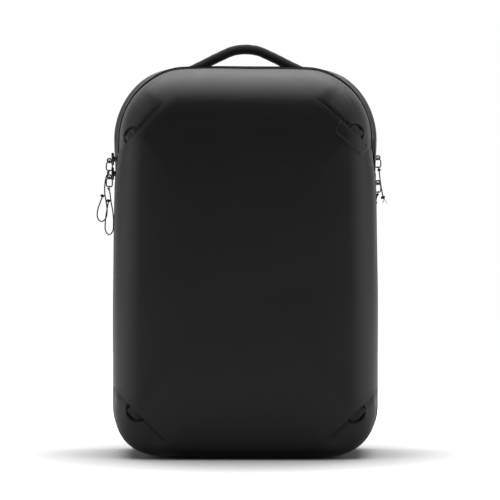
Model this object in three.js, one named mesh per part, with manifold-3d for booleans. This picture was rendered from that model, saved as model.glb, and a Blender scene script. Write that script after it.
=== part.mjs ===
// Travel backpack: a padded rear shell with a crowned front lid that opens like a book on its
// right side, a laptop compartment with its own side zip, a carry handle and a shoulder harness.
// Millimetres, +Z up, the front faces -Y, the origin is on the floor at the middle of the base.
import * as THREE from 'three';
import { mergeVertices } from 'three/addons/utils/BufferGeometryUtils.js';
import Module from 'manifold-3d';

const wasm = await Module();
wasm.setup();

// ---- Driving dimensions -------------------------------------------------------------------
const WIDTH = 337;
const HEIGHT = 500;
const WALL = 4;
const GAP = 0.3;
const TOP_CORNER_X = 77;
const TOP_CORNER_Z = 90;
const LOW_CORNER = 48;
const CORNER_STEPS = 6;
const SHELL_RIM_Y = -25;
const BACK_Y = 75;
const LID_RIM_Y = -35;
const FACE_Y = -122;
const CROWN_Y = -128;
const SEAM_Y = (SHELL_RIM_Y + LID_RIM_Y) / 2;
const BASE_SHEET = 2.7;
const SHELL_LIFT = BASE_SHEET + GAP;
const LID_LIFT = 1;
const LID_DROP = 4;
const PAD_BACK_Y = 93;
const HANDLE_Y = 62;
const HANDLE_R = 6.5;
const HANDLE_PIVOT_Z = 489;
const STRAP_THICK = 12;
const WEB_THICK = 1.6;
const STERNUM_Z = 350;
const LAPTOP_ZIP_Y = 53;
const SLIDER_FACE = WIDTH / 2 + 5;
const PULL_AXIS = SLIDER_FACE + 2.9;
const PULL_LENGTH = 14.5;
const WIRE = 1.6;

const FABRIC = { color: 0x26272a, roughness: 0.62, metalness: 0 };
const COATED = { color: 0x1f2021, roughness: 0.5, metalness: 0 };
const KNIT = { color: 0x2c2d2f, roughness: 0.9, metalness: 0 };
const WEBBING = { color: 0x1b1b1c, roughness: 0.75, metalness: 0 };
const TAPE = { color: 0x161617, roughness: 0.7, metalness: 0 };
const METAL = { color: 0x3a3b3d, roughness: 0.35, metalness: 1 };
const PLASTIC = { color: 0x151516, roughness: 0.45, metalness: 0 };
const CORD = { color: 0x111112, roughness: 0.8, metalness: 0 };

const pack = new THREE.Group();
const vec = (x, y, z) => new THREE.Vector3(x, y, z);

function add(name, geometry, finish) {
  const mesh = new THREE.Mesh(geometry, new THREE.MeshStandardMaterial(finish));
  mesh.name = name;
  pack.add(mesh);
}

// ---- Solid helpers ------------------------------------------------------------------------

// Turn a triangle list inside out when its enclosed volume comes out negative.
function closedGeometry(positions, indices) {
  const at = (i) => vec(positions[3 * i], positions[3 * i + 1], positions[3 * i + 2]);
  let volume = 0;
  for (let i = 0; i < indices.length; i += 3) {
    volume += at(indices[i]).dot(at(indices[i + 1]).cross(at(indices[i + 2])));
  }
  if (volume < 0) indices.reverse();
  const geometry = new THREE.BufferGeometry();
  geometry.setAttribute('position', new THREE.Float32BufferAttribute(positions, 3));
  geometry.setIndex(indices);
  return geometry;
}

// Skin a row of rings that have the same number of points. The ends are closed by fans, or,
// when loop is true, the last ring joins the first.
function loft(rings, loop = false) {
  const count = rings[0].length;
  const positions = rings.flat().flatMap((p) => [p.x, p.y, p.z]);
  const indices = [];
  const bands = loop ? rings.length : rings.length - 1;
  for (let r = 0; r < bands; r += 1) {
    const next = (r + 1) % rings.length;
    for (let i = 0; i < count; i += 1) {
      const j = (i + 1) % count;
      const [a, b, c, d] = [r * count + i, r * count + j, next * count + i, next * count + j];
      indices.push(a, c, b, b, c, d);
    }
  }
  if (!loop) {
    [0, rings.length - 1].forEach((r) => {
      const middle = rings[r].reduce((sum, p) => sum.add(p), vec(0, 0, 0)).divideScalar(count);
      const centre = positions.length / 3;
      positions.push(middle.x, middle.y, middle.z);
      for (let i = 0; i < count; i += 1) {
        const [a, b] = [r * count + i, r * count + ((i + 1) % count)];
        if (r === 0) indices.push(centre, a, b);
        else indices.push(centre, b, a);
      }
    });
  }
  return closedGeometry(positions, indices);
}

function toSolid(geometry) {
  const bare = geometry.clone();
  bare.deleteAttribute('normal');
  bare.deleteAttribute('uv');
  const merged = mergeVertices(bare, 1e-4);
  return new wasm.Manifold(new wasm.Mesh({
    numProp: 3,
    vertProperties: new Float32Array(merged.attributes.position.array),
    triVerts: new Uint32Array(merged.index.array),
  }));
}

function fromSolid(solid) {
  const mesh = solid.getMesh();
  const geometry = new THREE.BufferGeometry();
  geometry.setAttribute('position', new THREE.Float32BufferAttribute(mesh.vertProperties, 3));
  geometry.setIndex(Array.from(mesh.triVerts));
  return geometry;
}

function box(low, high) {
  const size = high.map((h, i) => h - low[i]);
  const middle = high.map((h, i) => (h + low[i]) / 2);
  return new THREE.BoxGeometry(...size).translate(...middle);
}

// A flat plate in the XZ plane between two depths, cut to the pack's own outline.
function plate(low, high, side, top, bottom) {
  return loft([outline(low, side, top, bottom), outline(high, side, top, bottom)]);
}

// ---- The pack's outline -------------------------------------------------------------------

// The front outline at one depth, pulled in by side, top and bottom: four elliptical corners.
function outline(y, side, top, bottom) {
  const half = WIDTH / 2 - side;
  const high = HEIGHT - top;
  const topX = Math.max(TOP_CORNER_X - side, 25);
  const topZ = Math.max(TOP_CORNER_Z - top, 25);
  const low = Math.max(LOW_CORNER - Math.max(side, bottom), 18);
  const corners = [
    [half - low, bottom + low, low, low, -90],
    [half - topX, high - topZ, topX, topZ, 0],
    [topX - half, high - topZ, topX, topZ, 90],
    [low - half, bottom + low, low, low, 180],
  ];
  return corners.flatMap(([x, z, a, b, start]) => (
    Array.from({ length: CORNER_STEPS + 1 }, (_, k) => {
      const turn = THREE.MathUtils.degToRad(start + (90 * k) / CORNER_STEPS);
      return vec(x + a * Math.cos(turn), y, z + b * Math.sin(turn));
    })
  ));
}

// ---- Rear shell and what it holds ---------------------------------------------------------

// Depth, side, top and bottom pull-in of the rings of the side gusset and of the back panel.
const PANEL_SEAM_Y = 70;
const GUSSET_RINGS = [
  [SHELL_RIM_Y, 0, 0, SHELL_LIFT],
  [10, 0, 3, SHELL_LIFT],
  [40, 1, 10, SHELL_LIFT],
  [58, 4, 18, SHELL_LIFT + 1],
  [PANEL_SEAM_Y, 10, 28, SHELL_LIFT + 5],
];
const BACK_RINGS = [
  [PANEL_SEAM_Y + GAP, 10, 28, SHELL_LIFT + 5],
  [BACK_Y, 18, 38, SHELL_LIFT + 13],
];

const ringsOf = (rows, skin) => rows.map(([y, side, top, low]) => (
  outline(y, side + skin, top + skin, low + skin)
));

// The band that runs all round the pack, cut through on the right for the laptop zip.
function sideGusset() {
  const ring = loft([...ringsOf(GUSSET_RINGS, 0), ...ringsOf(GUSSET_RINGS, WALL).reverse()], true);
  const zipSlot = box([150, LAPTOP_ZIP_Y - 4, 90], [180, LAPTOP_ZIP_Y + 4, 410]);
  return fromSolid(toSolid(ring).subtract(toSolid(zipSlot)));
}

// The stiffened plate that closes the gusset at the wearer's back.
function backPanel() {
  return loft(ringsOf(BACK_RINGS, 0));
}

function laptopZip() {
  return box([162, LAPTOP_ZIP_Y - 4 + GAP, 90 + GAP], [165, LAPTOP_ZIP_Y + 4 - GAP, 410 - GAP]);
}

function basePanel() {
  const shape = new THREE.Shape();
  const [halfX, front, back, corner] = [115, -22, 60, 14];
  shape.moveTo(-halfX + corner, front);
  shape.lineTo(halfX - corner, front);
  shape.quadraticCurveTo(halfX, front, halfX, front + corner);
  shape.lineTo(halfX, back - corner);
  shape.quadraticCurveTo(halfX, back, halfX - corner, back);
  shape.lineTo(-halfX + corner, back);
  shape.quadraticCurveTo(-halfX, back, -halfX, back - corner);
  shape.lineTo(-halfX, front + corner);
  shape.quadraticCurveTo(-halfX, front, -halfX + corner, front);
  return new THREE.ExtrudeGeometry(shape, { depth: BASE_SHEET, bevelEnabled: false, curveSegments: 4 });
}

// One half of the main zip: its tape and coil run round the rim as a thin ring.
function zipRing(near, far, top, bottom) {
  const [skin, tapeWidth] = [1.5, 3.5];
  const inset = skin + tapeWidth;
  return loft([
    outline(near, skin, top + skin, bottom + skin),
    outline(far, skin, top + skin, bottom + skin),
    outline(far, inset, top + inset, bottom + inset),
    outline(near, inset, top + inset, bottom + inset),
  ], true);
}

// ---- Lid ----------------------------------------------------------------------------------

// How far a quarter-round edge has pulled in at depth y, when it starts at one depth and ends
// at the face: reach times one minus the cosine of the arc.
function roundOver(y, start, reach) {
  const part = THREE.MathUtils.clamp((start - y) / (start - FACE_Y), 0, 1);
  return reach * (1 - Math.sqrt(1 - part * part));
}

const LID_DEPTHS = [LID_RIM_Y, -55, -75, -90, -102, -111, -117, FACE_Y];
const EDGE_ROUND = { side: 26, top: 56, bottom: 24, sideStart: -78, topStart: -38, bottomStart: -84 };

function lidOutline(y, grow) {
  const side = roundOver(y, EDGE_ROUND.sideStart, EDGE_ROUND.side) - grow;
  const top = LID_DROP + roundOver(y, EDGE_ROUND.topStart, EDGE_ROUND.top) - grow;
  const bottom = LID_LIFT + roundOver(y, EDGE_ROUND.bottomStart, EDGE_ROUND.bottom) - grow;
  return [side, top, bottom];
}

// The crowned lid as a full block, grown outward (or shrunk) by a constant skin.
function lidBlock(grow, rim) {
  const rings = LID_DEPTHS.map((y, i) => {
    const depth = i === 0 ? rim : y - (y < -100 ? grow : 0);
    return outline(depth, ...lidOutline(y, grow));
  });
  const [side, top, bottom] = lidOutline(FACE_Y, grow);
  rings.push(outline(CROWN_Y - grow, side + 70, top + 90, bottom + 90));
  return toSolid(loft(rings));
}

// The four corner facets: a point on the facet's inner edge and the direction it faces.
const FACETS = {
  top_left: { at: vec(-134, -119, 418), out: vec(-0.73, 0, 0.68) },
  top_right: { at: vec(131, -119, 422), out: vec(0.7, 0, 0.72) },
  low_left: { at: vec(-134, -117, 56), out: vec(-0.7, 0, -0.72) },
  low_right: { at: vec(136, -117, 56), out: vec(0.7, 0, -0.72) },
};
const FACET_TILT = THREE.MathUtils.degToRad(38);

function facetNormal(facet) {
  return facet.out.clone().multiplyScalar(Math.sin(FACET_TILT)).add(vec(0, -Math.cos(FACET_TILT), 0));
}

// A block whose flat face lies on the facet, lifted off it along its normal.
function facetBlock(facet, lift, thickness = 300) {
  const normal = facetNormal(facet);
  const turn = new THREE.Quaternion().setFromUnitVectors(vec(0, 0, 1), normal);
  const middle = facet.at.clone().addScaledVector(normal, lift + thickness / 2);
  const block = new THREE.BoxGeometry(300, 300, thickness).applyQuaternion(turn);
  return toSolid(block.translate(middle.x, middle.y, middle.z));
}

const PATCH_LAYER = { under: GAP, over: 1.6 };

function frontPanel() {
  let outer = lidBlock(0, LID_RIM_Y);
  let inner = lidBlock(-WALL, LID_RIM_Y + 5);
  Object.values(FACETS).forEach((facet) => {
    outer = outer.subtract(facetBlock(facet, -PATCH_LAYER.over));
    inner = inner.subtract(facetBlock(facet, -PATCH_LAYER.over - WALL));
  });
  return fromSolid(outer.subtract(inner));
}

function cornerPatch(facet) {
  const skin = PATCH_LAYER.over - PATCH_LAYER.under;
  return fromSolid(facetBlock(facet, -skin, skin).intersect(lidBlock(-0.6, LID_RIM_Y - 2)));
}

// A sewn half-ring of cord that lies on the facet, its straight side along the panel's edge.
function cornerLoop(facet) {
  const [radius, cordR] = [10.5, 1.9];
  const normal = facetNormal(facet);
  const along = normal.clone().cross(facet.out).normalize();
  const away = along.clone().cross(normal).normalize();
  if (away.dot(facet.out) < 0) away.negate();
  const centre = facet.at.clone().addScaledVector(normal, cordR + 0.4).addScaledVector(away, 3);
  const steps = 12;
  const points = Array.from({ length: steps + 1 }, (_, k) => {
    const turn = (Math.PI * k) / steps;
    return centre.clone().addScaledVector(along, radius * Math.cos(turn))
      .addScaledVector(away, radius * Math.sin(turn));
  });
  return tube(points, cordR, 14);
}

function blankTab() {
  const shape = new THREE.Shape([
    new THREE.Vector2(114, 421), new THREE.Vector2(120, 406),
    new THREE.Vector2(147, 383), new THREE.Vector2(153, 389),
  ]);
  const prism = new THREE.ExtrudeGeometry(shape, { depth: 80, bevelEnabled: false });
  prism.rotateX(Math.PI / 2).translate(0, -70, 0);
  const layer = lidBlock(1.5, LID_RIM_Y).subtract(lidBlock(GAP, LID_RIM_Y + 5));
  const clear = facetBlock(FACETS.top_right, 0.4);
  return fromSolid(toSolid(prism).intersect(layer).subtract(clear));
}

// ---- Cords and tubes ----------------------------------------------------------------------

function tube(points, radius, steps, sides = 8) {
  const section = new THREE.Shape();
  for (let k = 0; k < sides; k += 1) {
    const turn = (2 * Math.PI * k) / sides;
    section[k === 0 ? 'moveTo' : 'lineTo'](radius * Math.cos(turn), radius * Math.sin(turn));
  }
  section.closePath();
  const extrudePath = new THREE.CatmullRomCurve3(points, false, 'centripetal');
  return new THREE.ExtrudeGeometry(section, { steps, extrudePath, bevelEnabled: false });
}

// Routes of the zip pulls' cords, from the wire down round the loop to the knot.
const CORD_ROUTES = {
  left_upper: [
    [-177.2, -33.4, 365.8], [-179.6, -36.4, 361], [-181.5, -37.5, 352], [-181.8, -38, 338],
    [-179.8, -38.6, 326], [-178.8, -39, 314], [-181, -39.4, 305], [-186, -39.4, 301.5],
    [-190.8, -39.4, 306], [-191, -39, 316], [-187.5, -38.6, 327], [-184.6, -38.2, 335],
  ],
  left_lower: [
    [-177.2, -28, 344.8], [-175.8, -27, 339], [-174.8, -26.5, 330], [-172.2, -26, 315],
    [-171.3, -26, 300], [-173, -26, 288], [-177, -26, 284.5], [-181, -26, 289],
    [-181.8, -26, 302], [-179.6, -26, 318], [-177.6, -26, 329],
  ],
  right_upper: [
    [178, 55, 372.6], [178.8, 58, 366], [180.5, 60, 353], [182.5, 60.5, 342], [184, 60.5, 334],
  ],
  right_lower: [
    [176, 53, 339.4], [174, 52, 332], [172.6, 49, 318], [172.4, 49.5, 307],
    [172.4, 53, 302], [172.4, 56.5, 307], [172.6, 57, 318], [173.2, 55.6, 328],
  ],
};
const CORD_R = 0.8;

function pullCord(route) {
  const points = route.map((p) => vec(...p));
  return tube(points, CORD_R, 4 * (points.length - 1));
}

// ---- Zip sliders and their wire pulls -------------------------------------------------------

// side is -1 on the left and 1 on the right. The slider lies against the side, its bridge
// stands out, and the wire hangs from the bridge.
function zipSlider(side, y, pivotZ, rise) {
  const [bodyIn, bridgeOut, hole] = [WIDTH / 2 + 2, 3.6, 1.6];
  const [low, high] = rise > 0 ? [pivotZ - 6, pivotZ + 10] : [pivotZ - 4, pivotZ + 12];
  const body = toSolid(box([bodyIn, -4.5, low], [SLIDER_FACE, 4.5, high]));
  const arch = new THREE.Shape();
  arch.absarc(PULL_AXIS, pivotZ, bridgeOut, 0, 2 * Math.PI, false);
  const eye = new THREE.Path();
  eye.absarc(PULL_AXIS, pivotZ, hole, 0, 2 * Math.PI, true);
  arch.holes.push(eye);
  const ring = new THREE.ExtrudeGeometry(arch, { depth: 2.4, bevelEnabled: false, curveSegments: 6 });
  ring.rotateX(Math.PI / 2).translate(0, 1.2, 0);
  const solid = body.add(toSolid(ring)).translate([0, y, 0]);
  return fromSolid(side > 0 ? solid : solid.mirror([1, 0, 0]));
}

// The wire pull: a flat rounded frame of wire in the YZ plane, hanging from its top bar.
function wirePull(side, y, pivotZ) {
  const [halfY, top, low] = [4, WIRE / 2, WIRE / 2 - PULL_LENGTH];
  const frame = new THREE.Shape();
  const corner = 2;
  frame.moveTo(-halfY + corner, low);
  frame.lineTo(halfY - corner, low);
  frame.quadraticCurveTo(halfY, low, halfY, low + corner);
  frame.lineTo(halfY, top - corner);
  frame.quadraticCurveTo(halfY, top, halfY - corner, top);
  frame.lineTo(-halfY + corner, top);
  frame.quadraticCurveTo(-halfY, top, -halfY, top - corner);
  frame.lineTo(-halfY, low + corner);
  frame.quadraticCurveTo(-halfY, low, -halfY + corner, low);
  const hole = new THREE.Path();
  hole.moveTo(-halfY + WIRE, low + WIRE);
  hole.lineTo(-halfY + WIRE, top - WIRE);
  hole.lineTo(halfY - WIRE, top - WIRE);
  hole.lineTo(halfY - WIRE, low + WIRE);
  hole.closePath();
  frame.holes.push(hole);
  const ring = new THREE.ExtrudeGeometry(frame, { depth: WIRE, bevelEnabled: false, curveSegments: 3 });
  ring.rotateX(Math.PI / 2).rotateZ(Math.PI / 2);
  return ring.translate(side * PULL_AXIS - WIRE / 2, y, pivotZ);
}

// ---- Harness --------------------------------------------------------------------------------

// A flat band carried along a path: width across, thickness through, corners cut off.
function band(points, widths, thickness) {
  const places = points.map((p) => vec(...p));
  const rings = places.map((place, i) => {
    const ahead = places[Math.min(i + 1, places.length - 1)];
    const behind = places[Math.max(i - 1, 0)];
    const along = ahead.clone().sub(behind).normalize();
    const across = vec(1, 0, 0).addScaledVector(along, -along.x).normalize();
    const through = along.clone().cross(across);
    const [w, t] = [widths[i] / 2, thickness / 2];
    const cut = t * 0.6;
    const corners = [
      [w, cut - t], [w, t - cut], [w - cut, t], [cut - w, t],
      [-w, t - cut], [-w, cut - t], [cut - w, -t], [w - cut, -t],
    ];
    return corners.map(([u, v]) => place.clone().addScaledVector(across, u).addScaledVector(through, v));
  });
  return loft(rings);
}

const STRAP_PATH = [
  [66, 88, 461], [73, 100, 449], [82, 116, 428], [87, 125, 405], [88, 126, 395],
  [88, 126, 300], [92, 125, 270], [101, 120, 232], [111, 112, 196], [116, 108, 180],
];
const STRAP_WIDTHS = [42, 50, 56, 58, 58, 58, 57, 52, 44, 36];
const WEB_PATH = [[138, 80.5, 64], [133, 88, 92], [126, 97, 126], [119, 105, 155]];

const mirrored = (side, points) => points.map(([x, y, z]) => [side * x, y, z]);

function ladderLock(side) {
  const frame = toSolid(box([side * 117 - 13, 103, 158], [side * 117 + 13, 108, 176]));
  const slot = toSolid(box([side * 117 - 10.5, 100, 162], [side * 117 + 10.5, 112, 165.5]));
  return fromSolid(frame.subtract(slot));
}

// A flap sewn into the lower corner of the back that holds the end of the webbing.
function strapWing(side) {
  const shape = new THREE.Shape([
    new THREE.Vector2(118 * side, 40), new THREE.Vector2(146 * side, 40),
    new THREE.Vector2(146 * side, 70), new THREE.Vector2(128 * side, 62),
  ]);
  const flap = new THREE.ExtrudeGeometry(shape, { depth: 3, bevelEnabled: false });
  return flap.rotateX(Math.PI / 2).translate(0, BACK_Y + GAP + 3, 0);
}

function sternumSlider(side) {
  const inner = side * 54.5;
  return box([inner - 3.8, 121, STERNUM_Z - 13], [inner + 3.8, 131, STERNUM_Z + 13]);
}

const BUCKLE = { half: 16, tall: 26, front: 122.5, back: 130.5 };

function sternumWeb(side, reach) {
  const [near, far] = [side * 50.2, side * reach].sort((a, b) => a - b);
  return box([near, 128.6, STERNUM_Z - 10], [far, 128.6 + WEB_THICK, STERNUM_Z + 10]);
}

function buckleFemale() {
  const { half, tall, front, back } = BUCKLE;
  const shell = toSolid(box([-20, front, STERNUM_Z - tall / 2], [half, back, STERNUM_Z + tall / 2]));
  const mouth = toSolid(box([-8, front + 2, STERNUM_Z - 10], [half + 1, back - 2, STERNUM_Z + 10]));
  const sideA = toSolid(box([-2, front - 1, STERNUM_Z + 9], [8, back + 1, STERNUM_Z + tall]));
  const sideB = toSolid(box([-2, front - 1, STERNUM_Z - tall], [8, back + 1, STERNUM_Z - 9]));
  return fromSolid(shell.subtract(mouth).subtract(sideA).subtract(sideB));
}

function buckleMale() {
  const { half, tall, front } = BUCKLE;
  const [low, high] = [STERNUM_Z - tall / 2, STERNUM_Z + tall / 2];
  const [tongueFront, tongueBack] = [front + 2.4, BUCKLE.back - 2.4];
  const bar = toSolid(box([half + 0.6, front, low], [half + 14, front + 3.1, high]));
  const slot = toSolid(box([half + 6, front - 1, low + 2.4], [half + 10, front + 4, high - 2.4]));
  const tongue = toSolid(box([-2, tongueFront, STERNUM_Z - 9.4], [half + 2, tongueBack, STERNUM_Z + 9.4]));
  const cleft = toSolid(box([-3, front, STERNUM_Z - 5], [half - 2, BUCKLE.back, STERNUM_Z + 5]));
  return fromSolid(bar.subtract(slot).add(tongue.subtract(cleft)));
}

// ---- Carry handle ---------------------------------------------------------------------------

const HANDLE_ARCH = [[108, HANDLE_PIVOT_Z], [86, 498.5], [61, 510], [36, 522.5], [14, 531.5], [0, 533.3]];

function handleGrip() {
  const half = HANDLE_ARCH.map(([x, z]) => vec(x, HANDLE_Y, z));
  const other = half.slice(0, -1).reverse().map((p) => vec(-p.x, p.y, p.z));
  return tube([...half, ...other], HANDLE_R, 22, 10);
}

function handleAnchor(side) {
  const [near, far] = [side * 108, side * 128].sort((a, b) => a - b);
  return box([near, HANDLE_Y - 4, 480.7], [far, HANDLE_Y + 5, 482.2]);
}

function backPad(side) {
  const [near, far] = [side * 14, side * 132].sort((a, b) => a - b);
  return box([near, BACK_Y + GAP, 250], [far, PAD_BACK_Y, 418]);
}

// A wide band of webbing, open above and below, that slips over a trolley case's handle.
function luggageBand() {
  const outer = toSolid(box([-146, BACK_Y + GAP, 196], [146, 87, 242]));
  const tunnel = toSolid(box([-138, BACK_Y - 5, 190], [138, 84.5, 250]));
  return fromSolid(outer.subtract(tunnel));
}

// ---- Assembly -------------------------------------------------------------------------------

add('side_gusset', sideGusset(), FABRIC);
add('back_panel', backPanel(), FABRIC);
add('base_panel', basePanel(), COATED);
add('frame_sheet', plate(68, 69.6, 24, 46, 28), PLASTIC);
add('laptop_divider', plate(37, 43, 9, 20, 12), KNIT);
add('document_pocket', box([-105, 34, 60], [105, 36.7, 260]), FABRIC);
add('zip_shell_half', zipRing(SHELL_RIM_Y - GAP, SEAM_Y + GAP, 0, SHELL_LIFT), TAPE);
add('laptop_zip', laptopZip(), TAPE);
add('harness_yoke', box([-92, BACK_Y + GAP, 424], [92, BACK_Y + 4, 458]), FABRIC);
add('lumbar_pad', box([-112, BACK_Y + GAP, 44], [112, PAD_BACK_Y, 186]), KNIT);
add('luggage_band', luggageBand(), FABRIC);

add('front_panel', frontPanel(), COATED);
add('zip_lid_half', zipRing(LID_RIM_Y + GAP, SEAM_Y - GAP, LID_DROP, LID_LIFT), TAPE);
add('lid_mesh_pocket', plate(-42, -40.6, 8, 18, 10), KNIT);
add('blank_tab', blankTab(), COATED);
Object.entries(FACETS).forEach(([corner, facet]) => {
  add(`corner_patch_${corner}`, cornerPatch(facet), COATED);
  add(`corner_loop_${corner}`, cornerLoop(facet), CORD);
});

add('handle_grip', handleGrip(), WEBBING);

[['left', -1], ['right', 1]].forEach(([name, side]) => {
  add(`back_pad_${name}`, backPad(side), KNIT);
  add(`handle_anchor_${name}`, handleAnchor(side), WEBBING);
  add(`strap_wing_${name}`, strapWing(side), FABRIC);
  add(`strap_web_${name}`, band(mirrored(side, WEB_PATH), [20, 20, 20, 20], WEB_THICK), WEBBING);
  add(`strap_pad_${name}`, band(mirrored(side, STRAP_PATH), STRAP_WIDTHS, STRAP_THICK), KNIT);
  add(`ladder_lock_${name}`, ladderLock(side), PLASTIC);
  add(`sternum_slider_${name}`, sternumSlider(side), PLASTIC);
});
add('sternum_web_left', sternumWeb(-1, 20.4), WEBBING);
add('sternum_web_right', sternumWeb(1, 31), WEBBING);
add('sternum_buckle_female', buckleFemale(), PLASTIC);
add('sternum_buckle_male', buckleMale(), PLASTIC);

const SLIDERS = [
  ['left_upper', -1, SEAM_Y, 381, 1],
  ['left_lower', -1, SEAM_Y, 360, -1],
  ['right_upper', 1, LAPTOP_ZIP_Y, 388, 1],
  ['right_lower', 1, LAPTOP_ZIP_Y, 355, -1],
];
SLIDERS.forEach(([name, side, y, pivotZ, rise]) => {
  add(`zip_slider_${name}`, zipSlider(side, y, pivotZ, rise), METAL);
  add(`wire_pull_${name}`, wirePull(side, y, pivotZ), METAL);
  add(`pull_cord_${name}`, pullCord(CORD_ROUTES[name]), CORD);
});

export default pack;
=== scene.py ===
"""Travel backpack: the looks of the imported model, laid out as an add-on and run as a script.

Every piece is worked out on a grid or carried along a path, in metres, in the frame's own place.
"""
import math

import bmesh
import bpy
import mathutils
import numpy as np
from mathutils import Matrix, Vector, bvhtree
from bpy.props import FloatProperty, FloatVectorProperty, PointerProperty


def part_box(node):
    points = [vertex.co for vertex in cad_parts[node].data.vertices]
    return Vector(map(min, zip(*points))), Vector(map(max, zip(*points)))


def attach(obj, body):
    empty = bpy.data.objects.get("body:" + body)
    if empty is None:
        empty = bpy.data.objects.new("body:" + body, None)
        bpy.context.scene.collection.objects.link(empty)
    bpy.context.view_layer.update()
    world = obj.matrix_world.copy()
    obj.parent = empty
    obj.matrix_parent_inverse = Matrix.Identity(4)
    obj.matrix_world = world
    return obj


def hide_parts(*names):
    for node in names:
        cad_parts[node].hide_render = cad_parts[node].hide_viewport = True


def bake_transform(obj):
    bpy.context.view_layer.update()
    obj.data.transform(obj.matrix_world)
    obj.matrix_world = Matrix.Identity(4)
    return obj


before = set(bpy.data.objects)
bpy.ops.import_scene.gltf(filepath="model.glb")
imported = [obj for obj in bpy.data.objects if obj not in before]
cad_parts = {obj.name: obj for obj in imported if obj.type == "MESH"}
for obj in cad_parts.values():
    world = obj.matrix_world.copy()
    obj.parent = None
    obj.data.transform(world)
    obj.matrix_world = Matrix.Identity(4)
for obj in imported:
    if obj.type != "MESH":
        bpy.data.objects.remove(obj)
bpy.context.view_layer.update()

bl_info = {
    "name": "Travel Backpack",
    "version": (1, 0, 0),
    "blender": (4, 5, 0),
    "location": "3D View > Sidebar > Backpack",
    "description": "Builds a travel backpack's fabric, zips, cords and harness around its frame",
    "category": "Add Mesh",
}

# ---- Places and sizes that the frame gives --------------------------------------------------

GUSSET_LOW, GUSSET_HIGH = (np.array(corner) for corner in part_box("side_gusset"))
LID_LOW, LID_HIGH = (np.array(corner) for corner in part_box("front_panel"))
BACK_HIGH = np.array(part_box("back_panel")[1])
HALF = GUSSET_HIGH[0]
TOP = GUSSET_HIGH[2]
RIM_Y = GUSSET_LOW[1]
BACK_Y = BACK_HIGH[1]
LID_RIM_Y = LID_HIGH[1]
CROWN_Y = LID_LOW[1]
SEAM_Y = (RIM_Y + LID_RIM_Y) / 2
SHELL_LIFT = GUSSET_LOW[2]
LID_LIFT = LID_LOW[2]
LID_DROP = TOP - LID_HIGH[2]

# Chosen for the look: the middle of the face, the depth where the face starts to turn, the width and
# height of the rounded corners, and how far the upper corners are drawn in at the rim and swell behind it.
HEART = (0.0, 0.235)
EDGE_DEPTH = CROWN_Y + 0.012
TOP_CORNER = (0.083, 0.090)
LOW_CORNER = (0.057, 0.063)
RIM_DRAW = 0.0042
RIM_SWELL = 0.0034


def smooth(t):
    """Ease from 0 to 1: three t squared less two t cubed, held at the ends."""
    t = np.clip(t, 0.0, 1.0)
    return t * t * (3.0 - 2.0 * t)


def unit(v):
    """The vectors along the last axis, each divided by its length."""
    return v / np.maximum(np.linalg.norm(v, axis=-1, keepdims=True), 1e-12)


# ---- Mesh making ------------------------------------------------------------------------------

def new_object(name, verts, faces, uv=None, finish=None):
    """A smooth-shaded mesh from arrays of corners and faces; uv holds one pair for each face corner."""
    mesh = bpy.data.meshes.new(name)
    mesh.from_pydata(np.asarray(verts).tolist(), [], faces)
    if uv is not None:
        layer = mesh.uv_layers.new(name="weave")
        layer.data.foreach_set("uv", np.asarray(uv, dtype=np.float32).ravel())
    mesh.polygons.foreach_set("use_smooth", [True] * len(mesh.polygons))
    piece = bpy.data.objects.new(name, mesh)
    bpy.context.collection.objects.link(piece)
    if finish is not None:
        mesh.materials.append(finish)
    return piece


def arc_map(grid):
    """Flat coordinates of a grid: the distance run along its columns, and along its rows."""
    across = np.linalg.norm(np.diff(grid, axis=1), axis=2).mean(axis=0)
    along = np.linalg.norm(np.diff(grid, axis=0), axis=2).mean(axis=1)
    u = np.concatenate([[0.0], np.cumsum(across)])
    v = np.concatenate([[0.0], np.cumsum(along)])
    return np.stack(np.broadcast_arrays(u[None, :], v[:, None]), axis=-1)


def surface(name, grid, finish, wrap=(False, False), ends=False, flat_map=None, sharp=40.0):
    """A grid of points (rows, columns, 3) as quads. wrap joins the last row or column to the first,
    ends closes the first and last row with fans, and a closed form is turned to face outwards."""
    rows, cols = grid.shape[:2]
    index = np.arange(rows * cols).reshape(rows, cols)
    full, number = grid, index
    if wrap[0]:
        full, number = np.concatenate([full, full[:1]]), np.concatenate([number, number[:1]])
    if wrap[1]:
        full = np.concatenate([full, full[:, :1]], axis=1)
        number = np.concatenate([number, number[:, :1]], axis=1)
    flat = arc_map(full) if flat_map is None else flat_map(full)
    place = np.arange(number.size).reshape(number.shape)

    def corners(table):
        return np.stack([table[:-1, :-1], table[:-1, 1:], table[1:, 1:], table[1:, :-1]], -1).reshape(-1, 4)

    faces = corners(number).tolist()
    uv = flat.reshape(-1, 2)[corners(place)].reshape(-1, 2)
    verts = grid.reshape(-1, 3)
    if ends:
        middles = np.stack([grid[0].mean(axis=0), grid[-1].mean(axis=0)])
        tips = [len(verts), len(verts) + 1]
        verts = np.concatenate([verts, middles])
        first, last = number[0], number[-1]
        fans = [[tips[0], b, a] for a, b in zip(first[:-1].tolist(), first[1:].tolist())]
        fans += [[tips[1], a, b] for a, b in zip(last[:-1].tolist(), last[1:].tolist())]
        faces += fans
        uv = np.concatenate([uv, np.zeros((3 * len(fans), 2))])
    piece = new_object(name, verts, faces, uv, finish)
    tidy(piece, recalculate=bool(ends or all(wrap)), sharp=sharp)
    return piece


def tidy(piece, recalculate=True, sharp=40.0):
    """Merge doubled points, turn a closed form's faces outwards and keep its edges crisp."""
    work = bmesh.new()
    work.from_mesh(piece.data)
    bmesh.ops.remove_doubles(work, verts=work.verts, dist=1e-6)
    if recalculate:
        bmesh.ops.recalc_face_normals(work, faces=work.faces)
    work.to_mesh(piece.data)
    work.free()
    if sharp is not None:
        piece.data.set_sharp_from_angle(angle=math.radians(sharp))


def apply_modifiers(piece):
    """Replace a piece's mesh by what its modifiers make of it."""
    graph = bpy.context.evaluated_depsgraph_get()
    made = bpy.data.meshes.new_from_object(piece.evaluated_get(graph))
    piece.modifiers.clear()
    piece.data = made


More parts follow.
